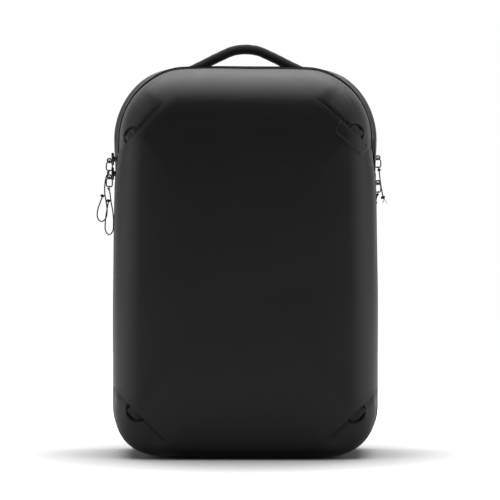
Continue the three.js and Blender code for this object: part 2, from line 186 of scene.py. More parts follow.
def thicken(piece, depth, sharp=50.0, offset=-1.0):
    """Give an open skin its thickness, inwards from its outer face."""
    wall = piece.modifiers.new("thickness", "SOLIDIFY")
    wall.thickness = depth
    wall.offset = offset
    wall.use_even_offset = False
    apply_modifiers(piece)
    piece.data.set_sharp_from_angle(angle=math.radians(sharp))
    return piece


def through(points, count):
    """A smooth line through a few points: a cubic between each pair whose slope at a point is that
    of the line from the point before to the point after, sampled evenly in length."""
    points = np.asarray(points, float)
    knots = np.concatenate([[0.0], np.cumsum(np.linalg.norm(np.diff(points, axis=0), axis=1))])
    slope = np.gradient(points, knots, axis=0)

    def at(t):
        k = np.clip(np.searchsorted(knots, t, side="right") - 1, 0, len(knots) - 2)
        span = (knots[k + 1] - knots[k])[:, None]
        s = ((t - knots[k])[:, None]) / span
        a = (2 * s**3 - 3 * s**2 + 1) * points[k] + (s**3 - 2 * s**2 + s) * span * slope[k]
        return a + (3 * s**2 - 2 * s**3) * points[k + 1] + (s**3 - s**2) * span * slope[k + 1]

    dense = at(np.linspace(0.0, knots[-1], 12 * count))
    run = np.concatenate([[0.0], np.cumsum(np.linalg.norm(np.diff(dense, axis=0), axis=1))])
    even = np.linspace(0.0, run[-1], count)
    return np.stack([np.interp(even, run, dense[:, axis]) for axis in range(3)], axis=1)


def frames(path, up, closed=False):
    """Along a path: its direction, the side vector and the up vector, square to each other."""
    if closed:
        along = unit(np.roll(path, -1, axis=0) - np.roll(path, 1, axis=0))
    else:
        along = unit(np.gradient(path, axis=0))
    up = np.broadcast_to(np.asarray(up, float), path.shape)
    lifted = unit(up - (up * along).sum(axis=1, keepdims=True) * along)
    return along, np.cross(along, lifted), lifted


def sweep(path, profile, up, scale=None, closed=False):
    """Carry a flat profile along a path: each point is the path's point, plus the profile's first
    number times the side vector, plus its second times the up vector."""
    _, side, lifted = frames(path, up, closed)
    profile = np.broadcast_to(profile, (len(path),) + np.shape(profile)[-2:])
    if scale is not None:
        profile = profile * np.asarray(scale, float).reshape(len(path), 1, -1)
    return path[:, None] + profile[:, :, :1] * side[:, None] + profile[:, :, 1:] * lifted[:, None]


def ring_profile(radius, sides, tall=1.0):
    """Points round a circle, or round an ellipse when tall is not 1."""
    turn = np.linspace(0.0, 2.0 * math.pi, sides, endpoint=False)
    return np.stack([radius * np.cos(turn), radius * tall * np.sin(turn)], axis=1)


def slab_profile(width, depth, edge=0.35, steps=5, power=2.0):
    """A flat bar's section with round edges: quarter ellipses of a share of its depth."""
    round_x = min(depth * edge * 2, width / 2)
    turn = np.linspace(0.0, math.pi / 2, steps)
    c, s = np.cos(turn) ** (2 / power), np.sin(turn) ** (2 / power)
    x, y = width / 2 - round_x + round_x * c, depth / 2 * s
    upper = np.concatenate([np.stack([x, y], axis=1), np.stack([-x[::-1], y[::-1]], axis=1)])
    return np.concatenate([upper, -upper[1:-1]])


def bar(name, path, width, depth, up, finish, scale=None, edge=0.35, power=2.0, sharp=50.0):
    """A closed flat strap or strip along a path."""
    grid = sweep(np.asarray(path), slab_profile(width, depth, edge, power=power), up, scale)
    return surface(name, grid, finish, wrap=(False, True), ends=True, sharp=sharp)


def rod(name, path, radius, finish, sides=10, up=(0, 1, 0), scale=None):
    """A closed round tube along a path."""
    grid = sweep(np.asarray(path), ring_profile(radius, sides), up, scale)
    return surface(name, grid, finish, wrap=(False, True), ends=True, sharp=60.0)


def scatter(name, verts, faces, centres, axes, finish):
    """Copies of one small shape: each corner is its centre plus the shape's numbers times its axes."""
    verts, count = np.asarray(verts, float), len(centres)
    placed = centres[:, None] + np.einsum("vk,nkc->nvc", verts, axes)
    all_faces = []
    for face in faces:
        block = np.asarray(face)[None] + (np.arange(count) * len(verts))[:, None]
        all_faces += block.tolist()
    piece = new_object(name, placed.reshape(-1, 3), all_faces, None, finish)
    tidy(piece, sharp=60.0)
    return piece


def bead_shape(sides=5):
    """A small spindle along its first axis: two rings between two tips."""
    turn = np.linspace(0.0, 2.0 * math.pi, sides, endpoint=False)
    ring = np.stack([np.zeros(sides), np.cos(turn), np.sin(turn)], axis=1)
    verts = np.concatenate([[[-1, 0, 0]], ring + [-0.62, 0, 0], ring + [0.62, 0, 0], [[1, 0, 0]]])
    here = np.arange(sides)
    there = (here + 1) % sides
    faces = [[0, 1 + b, 1 + a] for a, b in zip(here, there)]
    faces += [[1 + a, 1 + b, 1 + sides + b, 1 + sides + a] for a, b in zip(here, there)]
    faces += [[1 + sides + a, 1 + sides + b, 1 + 2 * sides] for a, b in zip(here, there)]
    return verts, faces


def stitches(name, path, up, finish, pitch=0.0034, length=0.0024, width=0.00042, sink=0.0):
    """A row of thread stitches along a path, each a spindle lying on the cloth."""
    path = np.asarray(path, float)
    run = np.concatenate([[0.0], np.cumsum(np.linalg.norm(np.diff(path, axis=0), axis=1))])
    even = np.arange(pitch, run[-1] - pitch / 2, pitch)
    up = np.broadcast_to(np.asarray(up, float), path.shape)
    along, side, lifted = frames(path, up)

    def sample(values):
        return np.stack([np.interp(even, run, values[:, axis]) for axis in range(3)], axis=1)

    centres = sample(path) - sink * sample(lifted)
    axes = np.stack([sample(along) * length / 2, sample(side) * width, sample(lifted) * width], axis=1)
    verts, faces = bead_shape()
    return scatter(name, verts, faces, centres, axes, finish)


# ---- Shader writing ---------------------------------------------------------------------------

class Value:
    """A shader socket that can be used in arithmetic; each operator adds one Math node."""

    def __init__(self, graph, socket):
        self.graph, self.socket = graph, socket

    def maths(self, operation, *others):
        """One Math node with this value first."""
        return self.graph.node("ShaderNodeMath", {"operation": operation},
                               dict(enumerate((self, *others))))

    def __add__(self, other):
        return self.maths("ADD", other)

    def __sub__(self, other):
        return self.maths("SUBTRACT", other)

    def __rsub__(self, other):
        return self.graph.node("ShaderNodeMath", {"operation": "SUBTRACT"}, {0: other, 1: self})

    def __mul__(self, other):
        return self.maths("MULTIPLY", other)

    def __truediv__(self, other):
        return self.maths("DIVIDE", other)

    def __pow__(self, other):
        return self.maths("POWER", other)

    __radd__, __rmul__ = __add__, __mul__

    def wave(self, pitch, phase=0.0):
        """A sine of this length, from 0 to 1, that repeats every pitch metres."""
        return (self * (2.0 * math.pi / pitch) + phase).maths("SINE") * 0.5 + 0.5


class Graph:
    """One material's node tree, with one principled surface and its output."""

    def __init__(self, name):
        self.material = bpy.data.materials.new(name)
        self.material.use_nodes = True
        self.tree = self.material.node_tree
        self.tree.nodes.clear()
        self.shader = self.tree.nodes.new("ShaderNodeBsdfPrincipled")
        out = self.tree.nodes.new("ShaderNodeOutputMaterial")
        self.tree.links.new(self.shader.outputs[0], out.inputs[0])

    def node(self, kind, settings=None, inputs=None, output=0):
        """Add a node of this type with its settings, then its sockets' values or links."""
        made = self.tree.nodes.new(kind)
        for key, setting in (settings or {}).items():
            if key == "stops":
                for k, (place, grey) in enumerate(setting):
                    if k >= len(made.color_ramp.elements):
                        made.color_ramp.elements.new(place)
                    made.color_ramp.elements[k].position = place
                    made.color_ramp.elements[k].color = (grey, grey, grey, 1.0)
            else:
                setattr(made, key, setting)
        for key, given in (inputs or {}).items():
            self.put(made.inputs[key], given)
        return Value(self, made.outputs[output])

    def put(self, socket, given):
        """Links a value to a socket, or sets a constant on it."""
        if isinstance(given, Value):
            self.tree.links.new(given.socket, socket)
        else:
            socket.default_value = given

    def surface(self, **sockets):
        """Set the principled surface's sockets by name, with underscores for spaces."""
        for key, given in sockets.items():
            self.put(self.shader.inputs[key.replace("_", " ")], given)
        return self.material

    def flat(self):
        """The piece's own cloth coordinates, in metres: across and along."""
        place = self.node("ShaderNodeUVMap", {"uv_map": "weave"})
        across = self.node("ShaderNodeSeparateXYZ", None, {0: place})
        return place, across, Value(self, across.socket.node.outputs[1])

    def place(self):
        """Object coordinates."""
        return self.node("ShaderNodeTexCoord", None, None, output="Object")

    def noise(self, vector, scale, stretch=(1.0, 1.0, 1.0), detail=2.0):
        """Noise on a vector that is stretched first."""
        moved = self.node("ShaderNodeMapping", None, {"Vector": vector, "Scale": stretch})
        return self.node("ShaderNodeTexNoise", None, {"Vector": moved, "Scale": scale, "Detail": detail})

    def ramp(self, value, stops):
        """A colour ramp over a value."""
        return self.node("ShaderNodeValToRGB", {"stops": stops}, {0: value})

    def tint(self, amount, dark, light):
        """A colour between two by an amount from 0 to 1."""
        pair = {"data_type": "RGBA"}
        return self.node("ShaderNodeMix", pair, {0: amount, 6: (*dark, 1.0), 7: (*light, 1.0)}, output=2)

    def bump(self, height, strength, distance):
        """A normal tilted by a height."""
        inputs = {"Height": height, "Strength": strength, "Distance": distance}
        return self.node("ShaderNodeBump", None, inputs)


def shade(colour, factor):
    """A colour made lighter or darker by a factor, held at full."""
    return tuple(min(1.0, c * factor) for c in colour)


def coated_cloth(name, colour, rough=0.5, pitch=0.0011, sheen=0.25, gloss=0.5, streak=0.3):
    """Coated nylon: a fine crossways rib, thread slubs along it, faint scuffs and a soft sheen."""
    g = Graph(name)
    flat, across, along = g.flat()
    rib = along.wave(pitch) * 0.65 + across.wave(pitch * 0.8) * 0.35
    slub = g.noise(flat, 1.0, (9.0, 420.0, 1.0), 3.0)
    cloud = g.noise(g.place(), 9.0, (1.0, 1.0, 1.0), 4.0)
    scuff = g.ramp(g.noise(g.place(), 60.0, (1.0, 1.0, 3.0), 6.0), ((0.56, 0.0), (0.74, 1.0)))
    tone = slub * streak + cloud * 0.35 + rib * 0.2 + (0.15 - streak * 0.5)
    height = rib * 0.55 + slub * 0.45 + cloud * 0.4
    return g.surface(
        Base_Color=g.tint(tone, shade(colour, 0.6), shade(colour, 1.6)),
        Roughness=slub * 0.14 + cloud * 0.08 + scuff * 0.05 + (rough - 0.09),
        Specular_IOR_Level=gloss,
        Sheen_Weight=sheen,
        Sheen_Roughness=0.4,
        Sheen_Tint=(0.93, 0.97, 0.95, 1.0),
        Normal=g.bump(height, 0.35, 0.00025),
    )


def woven_cloth(name, colour, rough=0.75, pitch=0.0016, sheen=0.35, relief=0.0004):
    """A plain weave: threads over and under as the product of two waves, with lint and wear."""
    g = Graph(name)
    flat, across, along = g.flat()
    warp, weft = across.wave(pitch), along.wave(pitch)
    check = g.node("ShaderNodeTexChecker", None, {"Vector": flat, "Scale": 1.0 / pitch}, output=1)
    weave = warp * check + weft * (1.0 - check)
    lint = g.noise(g.place(), 260.0, (1.0, 1.0, 1.0), 3.0)
    cloud = g.noise(g.place(), 14.0, (1.0, 1.0, 1.0), 3.0)
    tone = weave * 0.45 + lint * 0.3 + cloud * 0.25
    return g.surface(
        Base_Color=g.tint(tone, shade(colour, 0.6), shade(colour, 1.5)),
        Roughness=weave * 0.08 + (rough - 0.04),
        Specular_IOR_Level=0.15,
        Sheen_Weight=sheen * 0.3,
        Sheen_Roughness=0.5,
        Normal=g.bump(weave + lint * 0.3, 0.6, relief),
    )


def knit_cloth(name, colour, cell=0.0034, holes=False):
    """Spacer knit: a staggered net of round cells, which are open where holes is true, with painted shade that
    darkens each cell's pit.
    """
    g = Graph(name)
    flat, _, _ = g.flat()
    turned = g.node("ShaderNodeMapping", None, {"Vector": flat, "Scale": (1.0, 0.62, 1.0)})
    cells = g.node("ShaderNodeTexVoronoi", None,
                   {"Vector": turned, "Scale": 1.0 / cell, "Randomness": 0.0 if holes else 0.25})
    pit_depth_and_painted_shade = g.ramp(cells, ((0.16, 0.0), (0.42, 1.0)))
    lint = g.noise(g.place(), 300.0, (1.0, 1.0, 1.0), 2.0)
    sockets = {
        # The cell pits sink in the bump and are also painted darker in the base colour: painted shade in the
        # recesses.
        "Base_Color": g.tint(pit_depth_and_painted_shade * 0.7 + lint * 0.3, shade(colour, 0.35), shade(colour, 1.35)),
        "Roughness": 0.92 - pit_depth_and_painted_shade * 0.08,
        "Specular_IOR_Level": 0.12,
        "Sheen_Weight": 0.12,
        "Sheen_Roughness": 0.5,
        "Normal": g.bump(pit_depth_and_painted_shade + lint * 0.2, 0.7, 0.0008),
    }
    if holes:
        sockets["Alpha"] = g.ramp(cells, ((0.20, 0.0), (0.27, 1.0)))
    return g.surface(**sockets)


def ribbed_webbing(name, colour, rib=0.0012):
    """Nylon webbing: raised ribs along its length, crossed by a fine herringbone."""
    g = Graph(name)
    _, across, along = g.flat()
    ribs = across.wave(rib * 2.0)
    slant = (along + across * 0.8).wave(rib) * ribs + (along - across * 0.8).wave(rib) * (1.0 - ribs)
    lint = g.noise(g.place(), 320.0, (1.0, 1.0, 1.0), 2.0)
    tone = slant * 0.5 + ribs * 0.2 + lint * 0.3
    return g.surface(
        Base_Color=g.tint(tone, shade(colour, 0.6), shade(colour, 1.7)),
        Roughness=slant * 0.1 + 0.6,
        Specular_IOR_Level=0.18,
        Sheen_Weight=0.06,
        Normal=g.bump(slant * 0.6 + ribs * 0.4, 0.7, 0.00035),
    )


def braid(name, colour, pitch=0.0012, sheen=0.2):
    """Braided cord or sleeve: two families of strands that cross on the slant."""
    g = Graph(name)
    _, across, along = g.flat()
    one = (along + across * 1.1).wave(pitch)
    two = (along - across * 1.1).wave(pitch)
    strands = one.maths("MAXIMUM", two)
    lint = g.noise(g.place(), 400.0, (1.0, 1.0, 1.0), 2.0)
    return g.surface(
        Base_Color=g.tint(strands * 0.6 + lint * 0.4, shade(colour, 0.45), shade(colour, 1.6)),
        Roughness=strands * 0.1 + 0.66,
        Specular_IOR_Level=0.10,
        Sheen_Weight=sheen * 0.3,
        Normal=g.bump(strands + lint * 0.15, 0.8, 0.0003),
    )


def moulded(name, colour, rough=0.42):
    """Moulded nylon: a fine spark grain, flow clouds and rubbed, shinier patches."""
    g = Graph(name)
    grain = g.noise(g.place(), 1400.0, (1.0, 1.0, 1.0), 2.0)
    cloud = g.noise(g.place(), 40.0, (1.0, 1.0, 1.0), 3.0)
    return g.surface(
        Base_Color=g.tint(cloud * 0.6 + grain * 0.4, shade(colour, 0.8), shade(colour, 1.35)),
        Roughness=cloud * 0.16 + grain * 0.08 + (rough - 0.12),
        Specular_IOR_Level=0.45,
        Normal=g.bump(grain, 0.25, 0.0002),
    )


def plated(name, colour, rough=0.34):
    """Black plated metal: brushed hairlines and small rubbed spots that show brighter metal."""
    g = Graph(name)
    hair = g.noise(g.place(), 500.0, (1.0, 1.0, 0.08), 2.0)
    spots = g.ramp(g.noise(g.place(), 220.0, (1.0, 1.0, 1.0), 5.0), ((0.6, 0.0), (0.72, 1.0)))
    return g.surface(
        Base_Color=g.tint(spots * 0.6 + hair * 0.3, colour, shade(colour, 3.2)),
        Metallic=0.9,
        Roughness=hair * 0.18 + (rough - 0.06),
        Normal=g.bump(hair, 0.2, 0.0001),
    )


def floor_paint(name, colour):
    """Matt studio paper that glows evenly, with a painted contact shadow: ambient occlusion dims its glow where the
    pack stands over it.
    """
    g = Graph(name)
    mottle = g.noise(g.place(), 3.0, (1.0, 1.0, 1.0), 2.0)
    painted_shadow_ao = g.node("ShaderNodeAmbientOcclusion", {"samples": 8}, {"Distance": 0.24}, output=1)
    return g.surface(
        Base_Color=g.tint(mottle, shade(colour, 0.97), colour),
        Roughness=0.9,
        Specular_IOR_Level=0.1,
        # Painted contact shadow: the glow fades near the pack through ambient occlusion, not through the lamps.
        Emission_Color=g.tint(painted_shadow_ao ** 6.0, (0.0, 0.0, 0.0), (1.0, 1.0, 1.0)),
        Emission_Strength=0.85,
    )


# ---- Sizes and colours that a user would change --------------------------------------------------

def length(label, about, default, low=0.0, high=1.0):
    """A length that the panel shows, in metres."""
    return FloatProperty(name=label, description=about, default=default, min=low, max=high,
                         unit="LENGTH", precision=4)


def paint(label, about, default):
    """A colour that the panel shows, as three linear parts."""
    return FloatVectorProperty(name=label, description=about, default=default, size=3,
                               subtype="COLOR", min=0.0, max=1.0)


class PackColours(bpy.types.PropertyGroup):
    """The finishes' colours."""
    coated: paint("Coated nylon", "Front panel and corner patches", (0.0042, 0.0047, 0.0045))
    shell: paint("Shell cloth", "Side gusset and trim", (0.0058, 0.0064, 0.0061))
    lining: paint("Lining", "Inside of the shell and the lid", (0.085, 0.088, 0.09))
    knit: paint("Spacer knit", "Back pads and strap pads", (0.014, 0.0145, 0.015))
    webbing: paint("Webbing", "Straps and tabs", (0.013, 0.013, 0.014))
    cord: paint("Cord", "Pull cords and corner loops", (0.010, 0.010, 0.0105))
    thread: paint("Thread", "Stitching", (0.030, 0.031, 0.031))
    tape: paint("Zip tape", "Coated zip tape and coil", (0.008, 0.008, 0.0085))
    plastic: paint("Buckles", "Moulded buckles and sliders", (0.012, 0.012, 0.013))
    metal: paint("Hardware", "Zip sliders and wire pulls", (0.045, 0.045, 0.048))


class PackSizes(bpy.types.PropertyGroup):
    """The sizes of cloth, seams and stitching."""
    skin: length("Skin", "Thickness of the padded outer cloth", 0.0024, 0.001, 0.004)
    lip: length("Slit lip", "How far the front panel's edge stands over a corner patch", 0.0052, 0.0, 0.009)
    hem: length("Hem", "Radius of the rolled hem along a corner slit", 0.0012, 0.0003, 0.003)
    piping: length("Piping", "Radius of the piping along the shell's seams", 0.0016, 0.0005, 0.004)
    stitch: length("Stitch pitch", "Distance from one stitch to the next", 0.0034, 0.002, 0.01)
    tooth: length("Tooth pitch", "Distance from one coil turn of the zip to the next", 0.0026, 0.001, 0.006)


class StageSettings(bpy.types.PropertyGroup):
    """The camera and the floor."""
    distance: length("Camera distance", "From the camera to the pack's front", 3.0, 1.0, 10.0)
    view_width: length("View width", "Width that the picture covers at the pack's front", 0.642, 0.2, 3.0)
    eye: length("Camera height", "Height of the camera and of what it looks at", 0.265, 0.0, 2.0)
    paper: paint("Paper", "Colour of the floor", (0.45, 0.45, 0.45))


# ---- Finishes -----------------------------------------------------------------------------------

FINISHES = {
    "coated": lambda c: coated_cloth("coated nylon", c.coated, rough=0.44, sheen=0.02, gloss=0.22,
                                     streak=0.75),
    "patch": lambda c: coated_cloth("coated nylon patch", c.coated, rough=0.46, pitch=0.0014, sheen=0.03,
                                    gloss=0.22),
    "shell": lambda c: coated_cloth("shell cloth", c.shell, rough=0.5, pitch=0.0013, sheen=0.04, gloss=0.24),
    "lining": lambda c: woven_cloth("lining cloth", c.lining, rough=0.7, pitch=0.0012, sheen=0.2),
    "weave": lambda c: woven_cloth("pack cloth", c.webbing, rough=0.72, pitch=0.0018),
    "knit": lambda c: knit_cloth("spacer knit", c.knit),
    "mesh": lambda c: knit_cloth("pocket mesh", c.lining, cell=0.0042, holes=True),
    "webbing": lambda c: ribbed_webbing("nylon webbing", c.webbing),
    "tape": lambda c: coated_cloth("zip tape", c.tape, rough=0.42, pitch=0.0009, sheen=0.02, gloss=0.25),
    "coil": lambda c: moulded("zip coil", c.tape, rough=0.38),
    "sleeve": lambda c: braid("handle sleeve", shade(c.webbing, 1.2), pitch=0.0022, sheen=0.3),
    "braid": lambda c: braid("braided cord", c.cord, pitch=0.0011),
    # The corner loops take the cord colour at half: painted shade for the loops that sit under the slit lips.
    "loop": lambda c: braid("corner cord with painted shade", shade(c.cord, 0.5), pitch=0.0016, sheen=0.0),
    "thread": lambda c: braid("sewing thread", c.thread, pitch=0.0004),
    "piping": lambda c: coated_cloth("piping cloth", c.shell, rough=0.46, pitch=0.0012, sheen=0.04,
                                     gloss=0.26),
    "plastic": lambda c: moulded("moulded nylon", c.plastic),
    "sheet": lambda c: moulded("frame sheet", shade(c.plastic, 1.6), rough=0.55),
    "metal": lambda c: plated("black plated metal", c.metal),
}
made_finishes = {}


def finish(key):
    """The finish of this name, made once from the colours in the panel."""
    if key not in made_finishes:
        made_finishes[key] = FINISHES[key](bpy.context.scene.pack_colours)
    return made_finishes[key]


def sizes():
    """The sizes that the panel shows."""
    return bpy.context.scene.pack_sizes


def settle(piece, body, key, *nodes):
    """Put a piece on its body and hide the frame nodes that it stands for. Its key, a finish's name, is not used."""
    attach(piece, body)
    if nodes:
        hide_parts(*nodes)
    return piece


# ---- The pack's outline ---------------------------------------------------------------------------

ARC, RUN_TOP, RUN_SIDE = 22, 26, 44


def outline(half, low, high, top_corner, low_corner, top_power=2.0, low_power=2.2):
    """Closed loops round the pack as seen from the front, one row for each entry: four corners, each
    x and z being the corner's size times cosine and sine raised to two over its power, with straight
    runs between them. The sides then lean in towards the top, and the top and bottom bow out a little."""
    half, low, high = (np.atleast_1d(np.asarray(v, float))[:, None] for v in (half, low, high))
    turn = np.linspace(0.0, math.pi / 2, ARC)[None]

    def corner(size, power):
        size, power = np.atleast_2d(np.asarray(size, float)), np.atleast_1d(np.asarray(power, float))[:, None]
        x = size[:, :1] * (1.0 - np.cos(turn) ** (2.0 / power))
        z = size[:, 1:] * (1.0 - np.sin(turn) ** (2.0 / power))
        return half - x, z

    top_x, top_z = corner(top_corner, top_power)
    low_x, low_z = corner(low_corner, low_power)
    up_z, down_z = high - top_z, low + low_z
    top_x, low_x, up_z, down_z = np.broadcast_arrays(top_x, low_x, up_z, down_z)
    across = np.linspace(0.0, 1.0, RUN_TOP + 2)[1:-1][None]
    side = np.linspace(0.0, 1.0, RUN_SIDE + 2)[1:-1][None]

    def run(a, b, part):
        return a[:, None] + (b - a)[:, None] * part

    x = [top_x, run(top_x[:, -1], -top_x[:, -1], across), -top_x[:, ::-1],
         run(-top_x[:, 0], -low_x[:, 0], side), -low_x, run(-low_x[:, -1], low_x[:, -1], across),
         low_x[:, ::-1], run(low_x[:, 0], top_x[:, 0], side)]
    z = [up_z, run(up_z[:, -1], up_z[:, -1], across), up_z[:, ::-1],
         run(up_z[:, 0], down_z[:, 0], side), down_z, run(down_z[:, -1], down_z[:, -1], across),
         down_z[:, ::-1], run(down_z[:, 0], up_z[:, 0], side)]
    x, z = np.concatenate(x, axis=1), np.concatenate(z, axis=1)
    bow = 1.0 - np.clip(np.abs(x) / HALF, 0, 1) ** 2
    upper = smooth((z - 0.3) / 0.2)
    rise = (0.0024 * bow - 0.0012) * upper + 0.0030 * (1.0 - bow) * smooth((0.1 - z) / 0.1)
    return x * (1.005 - 0.018 * smooth((z - 0.2) / 0.25)), z + rise


def shoulder_weight(grid):
    """From 0 to 1: how much a point belongs to one of the two upper corners or the sides by them."""
    x, z = np.abs(grid[..., 0]), grid[..., 2]
    return smooth((z - 0.345) / 0.07) * smooth((x - 0.075) / 0.06)


def shell_loop(y, side, top, bottom):
    """The shell's outline at a depth, drawn in by so much at the sides, the top and the bottom. Its upper
    corners are also drawn in at the rim and swell a little behind it, each eased over the depth."""
    side, top, bottom = (np.atleast_1d(np.asarray(v, float)) for v in (side, top, bottom))
    top_corner = np.stack([np.maximum(TOP_CORNER[0] - side, 0.03), np.maximum(TOP_CORNER[1] - top, 0.03)], 1)
    low_corner = np.stack([np.maximum(LOW_CORNER[0] - side, 0.02),
                           np.maximum(LOW_CORNER[1] - bottom, 0.02)], 1)
    x, z = outline(HALF - side, bottom, TOP - top, top_corner, low_corner)
    depth = np.broadcast_to(np.atleast_1d(np.asarray(y, float))[:, None], x.shape)
    loop = np.stack([x, depth, z], axis=2)
    behind = smooth((depth - RIM_Y) / 0.026)
    swell = RIM_SWELL * behind * (1.0 - smooth((depth - 0.02) / 0.05))
    drawn_in = (RIM_DRAW * (1.0 - behind) - swell) * shoulder_weight(loop)
    return loop - drawn_in[..., None] * unit((loop - [0.0, 0.0, 0.35]) * [1, 0, 1])


def cloth_map(grid):
    """Flat coordinates for the shell: across and up, with the depth added where a wall runs back."""
    x, y, z = grid[..., 0], grid[..., 1], grid[..., 2]
    back = y - CROWN_Y
    side = smooth((np.abs(x) - 0.135) / 0.03)
    upper = smooth((z - 0.43) / 0.06) * (1 - side)
    return np.stack([x + np.sign(x) * back * side, z + back * upper], axis=-1)


def rumple(grid, size=0.0006):
    """Slow ripples of hanging cloth: three crossed sine waves that move each point outwards."""
    x, z = grid[..., 0], grid[..., 2]
    wave = (np.sin(31 * x + 17 * z + 0.7) + np.sin(47 * z - 22 * x + 2.1) + np.sin(73 * x + 9 * z)) / 3
    out = grid - np.array([0.0, 0.0, 0.25])
    return grid + size * wave[..., None] * unit(out)


# ---- The lid --------------------------------------------------------------------------------------

SLITS = {
    "top_left": ((-0.104, 0.4495), (-0.164, 0.3865)),
    "top_right": ((0.0900, 0.4560), (0.163, 0.3920)),
    "low_left": ((-0.0965, 0.0215), (-0.1700, 0.0915)),
    "low_right": ((0.1010, 0.0235), (0.1700, 0.0880)),
}


def lid_grid(inset=0.0):
    """The lid's outer face: rows run from the rim over a quarter-ellipse shoulder, whose reach and
    depth blend from side to top to bottom, and then shrink to the heart of the face, which rises by
    one less the fourth power of the share of the way."""
    turn = np.radians(np.linspace(0.0, 76.0, 17))
    wall = np.linspace(0.0, 1.0, 6)[:-1]
    bend = np.concatenate([np.zeros(len(wall)), 1 - np.cos(turn)])
    side, top = 0.050 * bend + inset, 0.6 * LID_DROP + 0.064 * bend + inset
    low = LID_LIFT + 0.026 * bend + inset
    flatter = smooth(bend / 0.6)
    top_corner = np.stack([np.maximum(TOP_CORNER[0] - side, 0.03),
                           np.maximum(TOP_CORNER[1] - 0.9 * top, 0.03)], 1)
    low_corner = np.stack([np.maximum(LOW_CORNER[0] - 0.5 * side, 0.02),
                           np.maximum(LOW_CORNER[1] - low, 0.02)], 1)
    x, z = outline(HALF - side, low, TOP - top, top_corner, low_corner, 2.0 - 0.55 * flatter,
                   2.05 - 0.9 * flatter)
    upper, lower = smooth((z - 0.34) / 0.13), smooth((0.085 - z) / 0.075)
    start = -0.050 + upper * 0.010 - lower * 0.032
    depth = (EDGE_DEPTH - start) / math.sin(turn[-1])
    along = np.concatenate([wall, np.ones(len(turn))])[:, None]
    arc = np.concatenate([np.zeros(len(wall)), np.sin(turn)])[:, None]
    y = LID_RIM_Y + (start - LID_RIM_Y) * along + depth * arc
    shoulder = np.stack([x, y, z], axis=2)
    drawn_in = RIM_DRAW * shoulder_weight(shoulder) * (1.0 - smooth(bend[:, None] / 0.5))
    shoulder -= drawn_in[..., None] * unit((shoulder - np.array([0.0, 0.0, 0.35])) * [1, 0, 1])
    share = np.linspace(1.0, 0.0, 26)[1:-1, None]
    edge = shoulder[-1]
    rise = edge[:, 1] - (CROWN_Y + inset)
    face = np.stack([HEART[0] + share * (edge[:, 0] - HEART[0]),
                     edge[:, 1] - rise * (1 - share ** 4),
                     HEART[1] + share * (edge[:, 2] - HEART[1])], axis=2)
    return rumple(np.concatenate([shoulder, face]))


def lid_skin(name, key, inset=0.0):
    """The lid's surface closed at its middle by one face, with its outside facing out."""
    grid = lid_grid(inset)
    piece = surface(name, grid, finish(key), wrap=(False, True), flat_map=cloth_map, sharp=None)
    heart = bmesh.new()
    heart.from_mesh(piece.data)
    inner = [e for e in heart.edges if e.is_boundary and all(v.co.y < CROWN_Y + 0.02 for v in e.verts)]
    layer = heart.loops.layers.uv.active
    for face in bmesh.ops.contextual_create(heart, geom=inner)["faces"]:
        for corner in face.loops:
            corner[layer].uv = (corner.vert.co.x, corner.vert.co.z)
        face.smooth = True
    bmesh.ops.recalc_face_normals(heart, faces=heart.faces)
    heart.to_mesh(piece.data)
    heart.free()
    return piece


def slit_frame(corner):
    """A slit's inner and outer ends, its direction in the front view and the direction away from the face."""
    inner, outer = (np.array([x, 0.0, z]) for x, z in SLITS[corner])
    along = unit(outer - inner)
    away = np.array([-along[2], 0.0, along[0]])
    if away @ (inner - np.array([HEART[0], 0.0, HEART[1]])) < 0:
        away = -away
    return inner, outer, along, away


def cut(piece, corner, keep_patch):
    """Cut a skin along a slit, straight back through it, and keep one side."""
    inner, _, _, away = slit_frame(corner)
    work = bmesh.new()
    work.from_mesh(piece.data)
    bmesh.ops.bisect_plane(work, geom=work.verts[:] + work.edges[:] + work.faces[:], dist=1e-5,
                           plane_co=inner, plane_no=away, clear_outer=not keep_patch, clear_inner=keep_patch)
    work.to_mesh(piece.data)
    work.free()


def coordinates(piece):
    """A mesh's vertices as rows of x, y and z."""
    flat = np.empty(3 * len(piece.data.vertices))
    piece.data.vertices.foreach_get("co", flat)
    return flat.reshape(-1, 3)


def set_coordinates(piece, points):
    """Moves a mesh's vertices to the given rows."""
    piece.data.vertices.foreach_set("co", np.asarray(points, dtype=np.float32).ravel())
    piece.data.update()


def vertex_normals(piece):
    """A mesh's vertex normals as rows."""
    flat = np.empty(3 * len(piece.data.vertices))
    piece.data.vertex_normals.foreach_get("vector", flat)
    return flat.reshape(-1, 3)


def lip_height(points, corner, lip):
    """How far a corner patch lies under the panel: a narrow bell curve along the slit plus a wide, eased
    fall beyond it, and none at the slit's inner end or at the rim."""
    inner, outer, along, away = slit_frame(corner)
    run = (points - inner) @ along / np.linalg.norm(outer - inner)
    far = (points - inner) @ away
    rim = smooth((LID_RIM_Y - 0.006 - points[:, 1]) / 0.02)
    trench = 0.55 * np.exp(-(far / 0.0024) ** 2) + 0.45 * (1.0 - smooth(far / 0.05))
    return lip * smooth(run / 0.16) * trench * rim


def drop_onto(target, points, lift=0.0):
    """Points of the front view carried onto a skin along the line of sight, or to its nearest point
    where that line misses it, and their normals, which face the front."""
    tree = bvhtree.BVHTree.FromObject(target, bpy.context.evaluated_depsgraph_get())
    found = []
    for x, z in points:
        hit = tree.ray_cast((x, CROWN_Y - 0.1, z), (0, 1, 0))
        found.append(hit if hit[0] is not None else tree.find_nearest((x, EDGE_DEPTH + 0.02, z)))
    place, normal = np.array([hit[0] for hit in found]), np.array([hit[1] for hit in found])
    normal *= np.where(normal[:, 1:2] > 0, -1.0, 1.0)
    return place + lift * normal, normal


def slit_points(corner, count, a=0.0, b=1.0, off=0.0):
    """Places in x and z along a slit, from share a to share b, moved off it by a distance."""
    inner, outer, _, away = slit_frame(corner)
    part = np.linspace(a, b, count)[:, None]
    places = inner + part * (outer - inner) + off * away
    return places[:, [0, 2]]


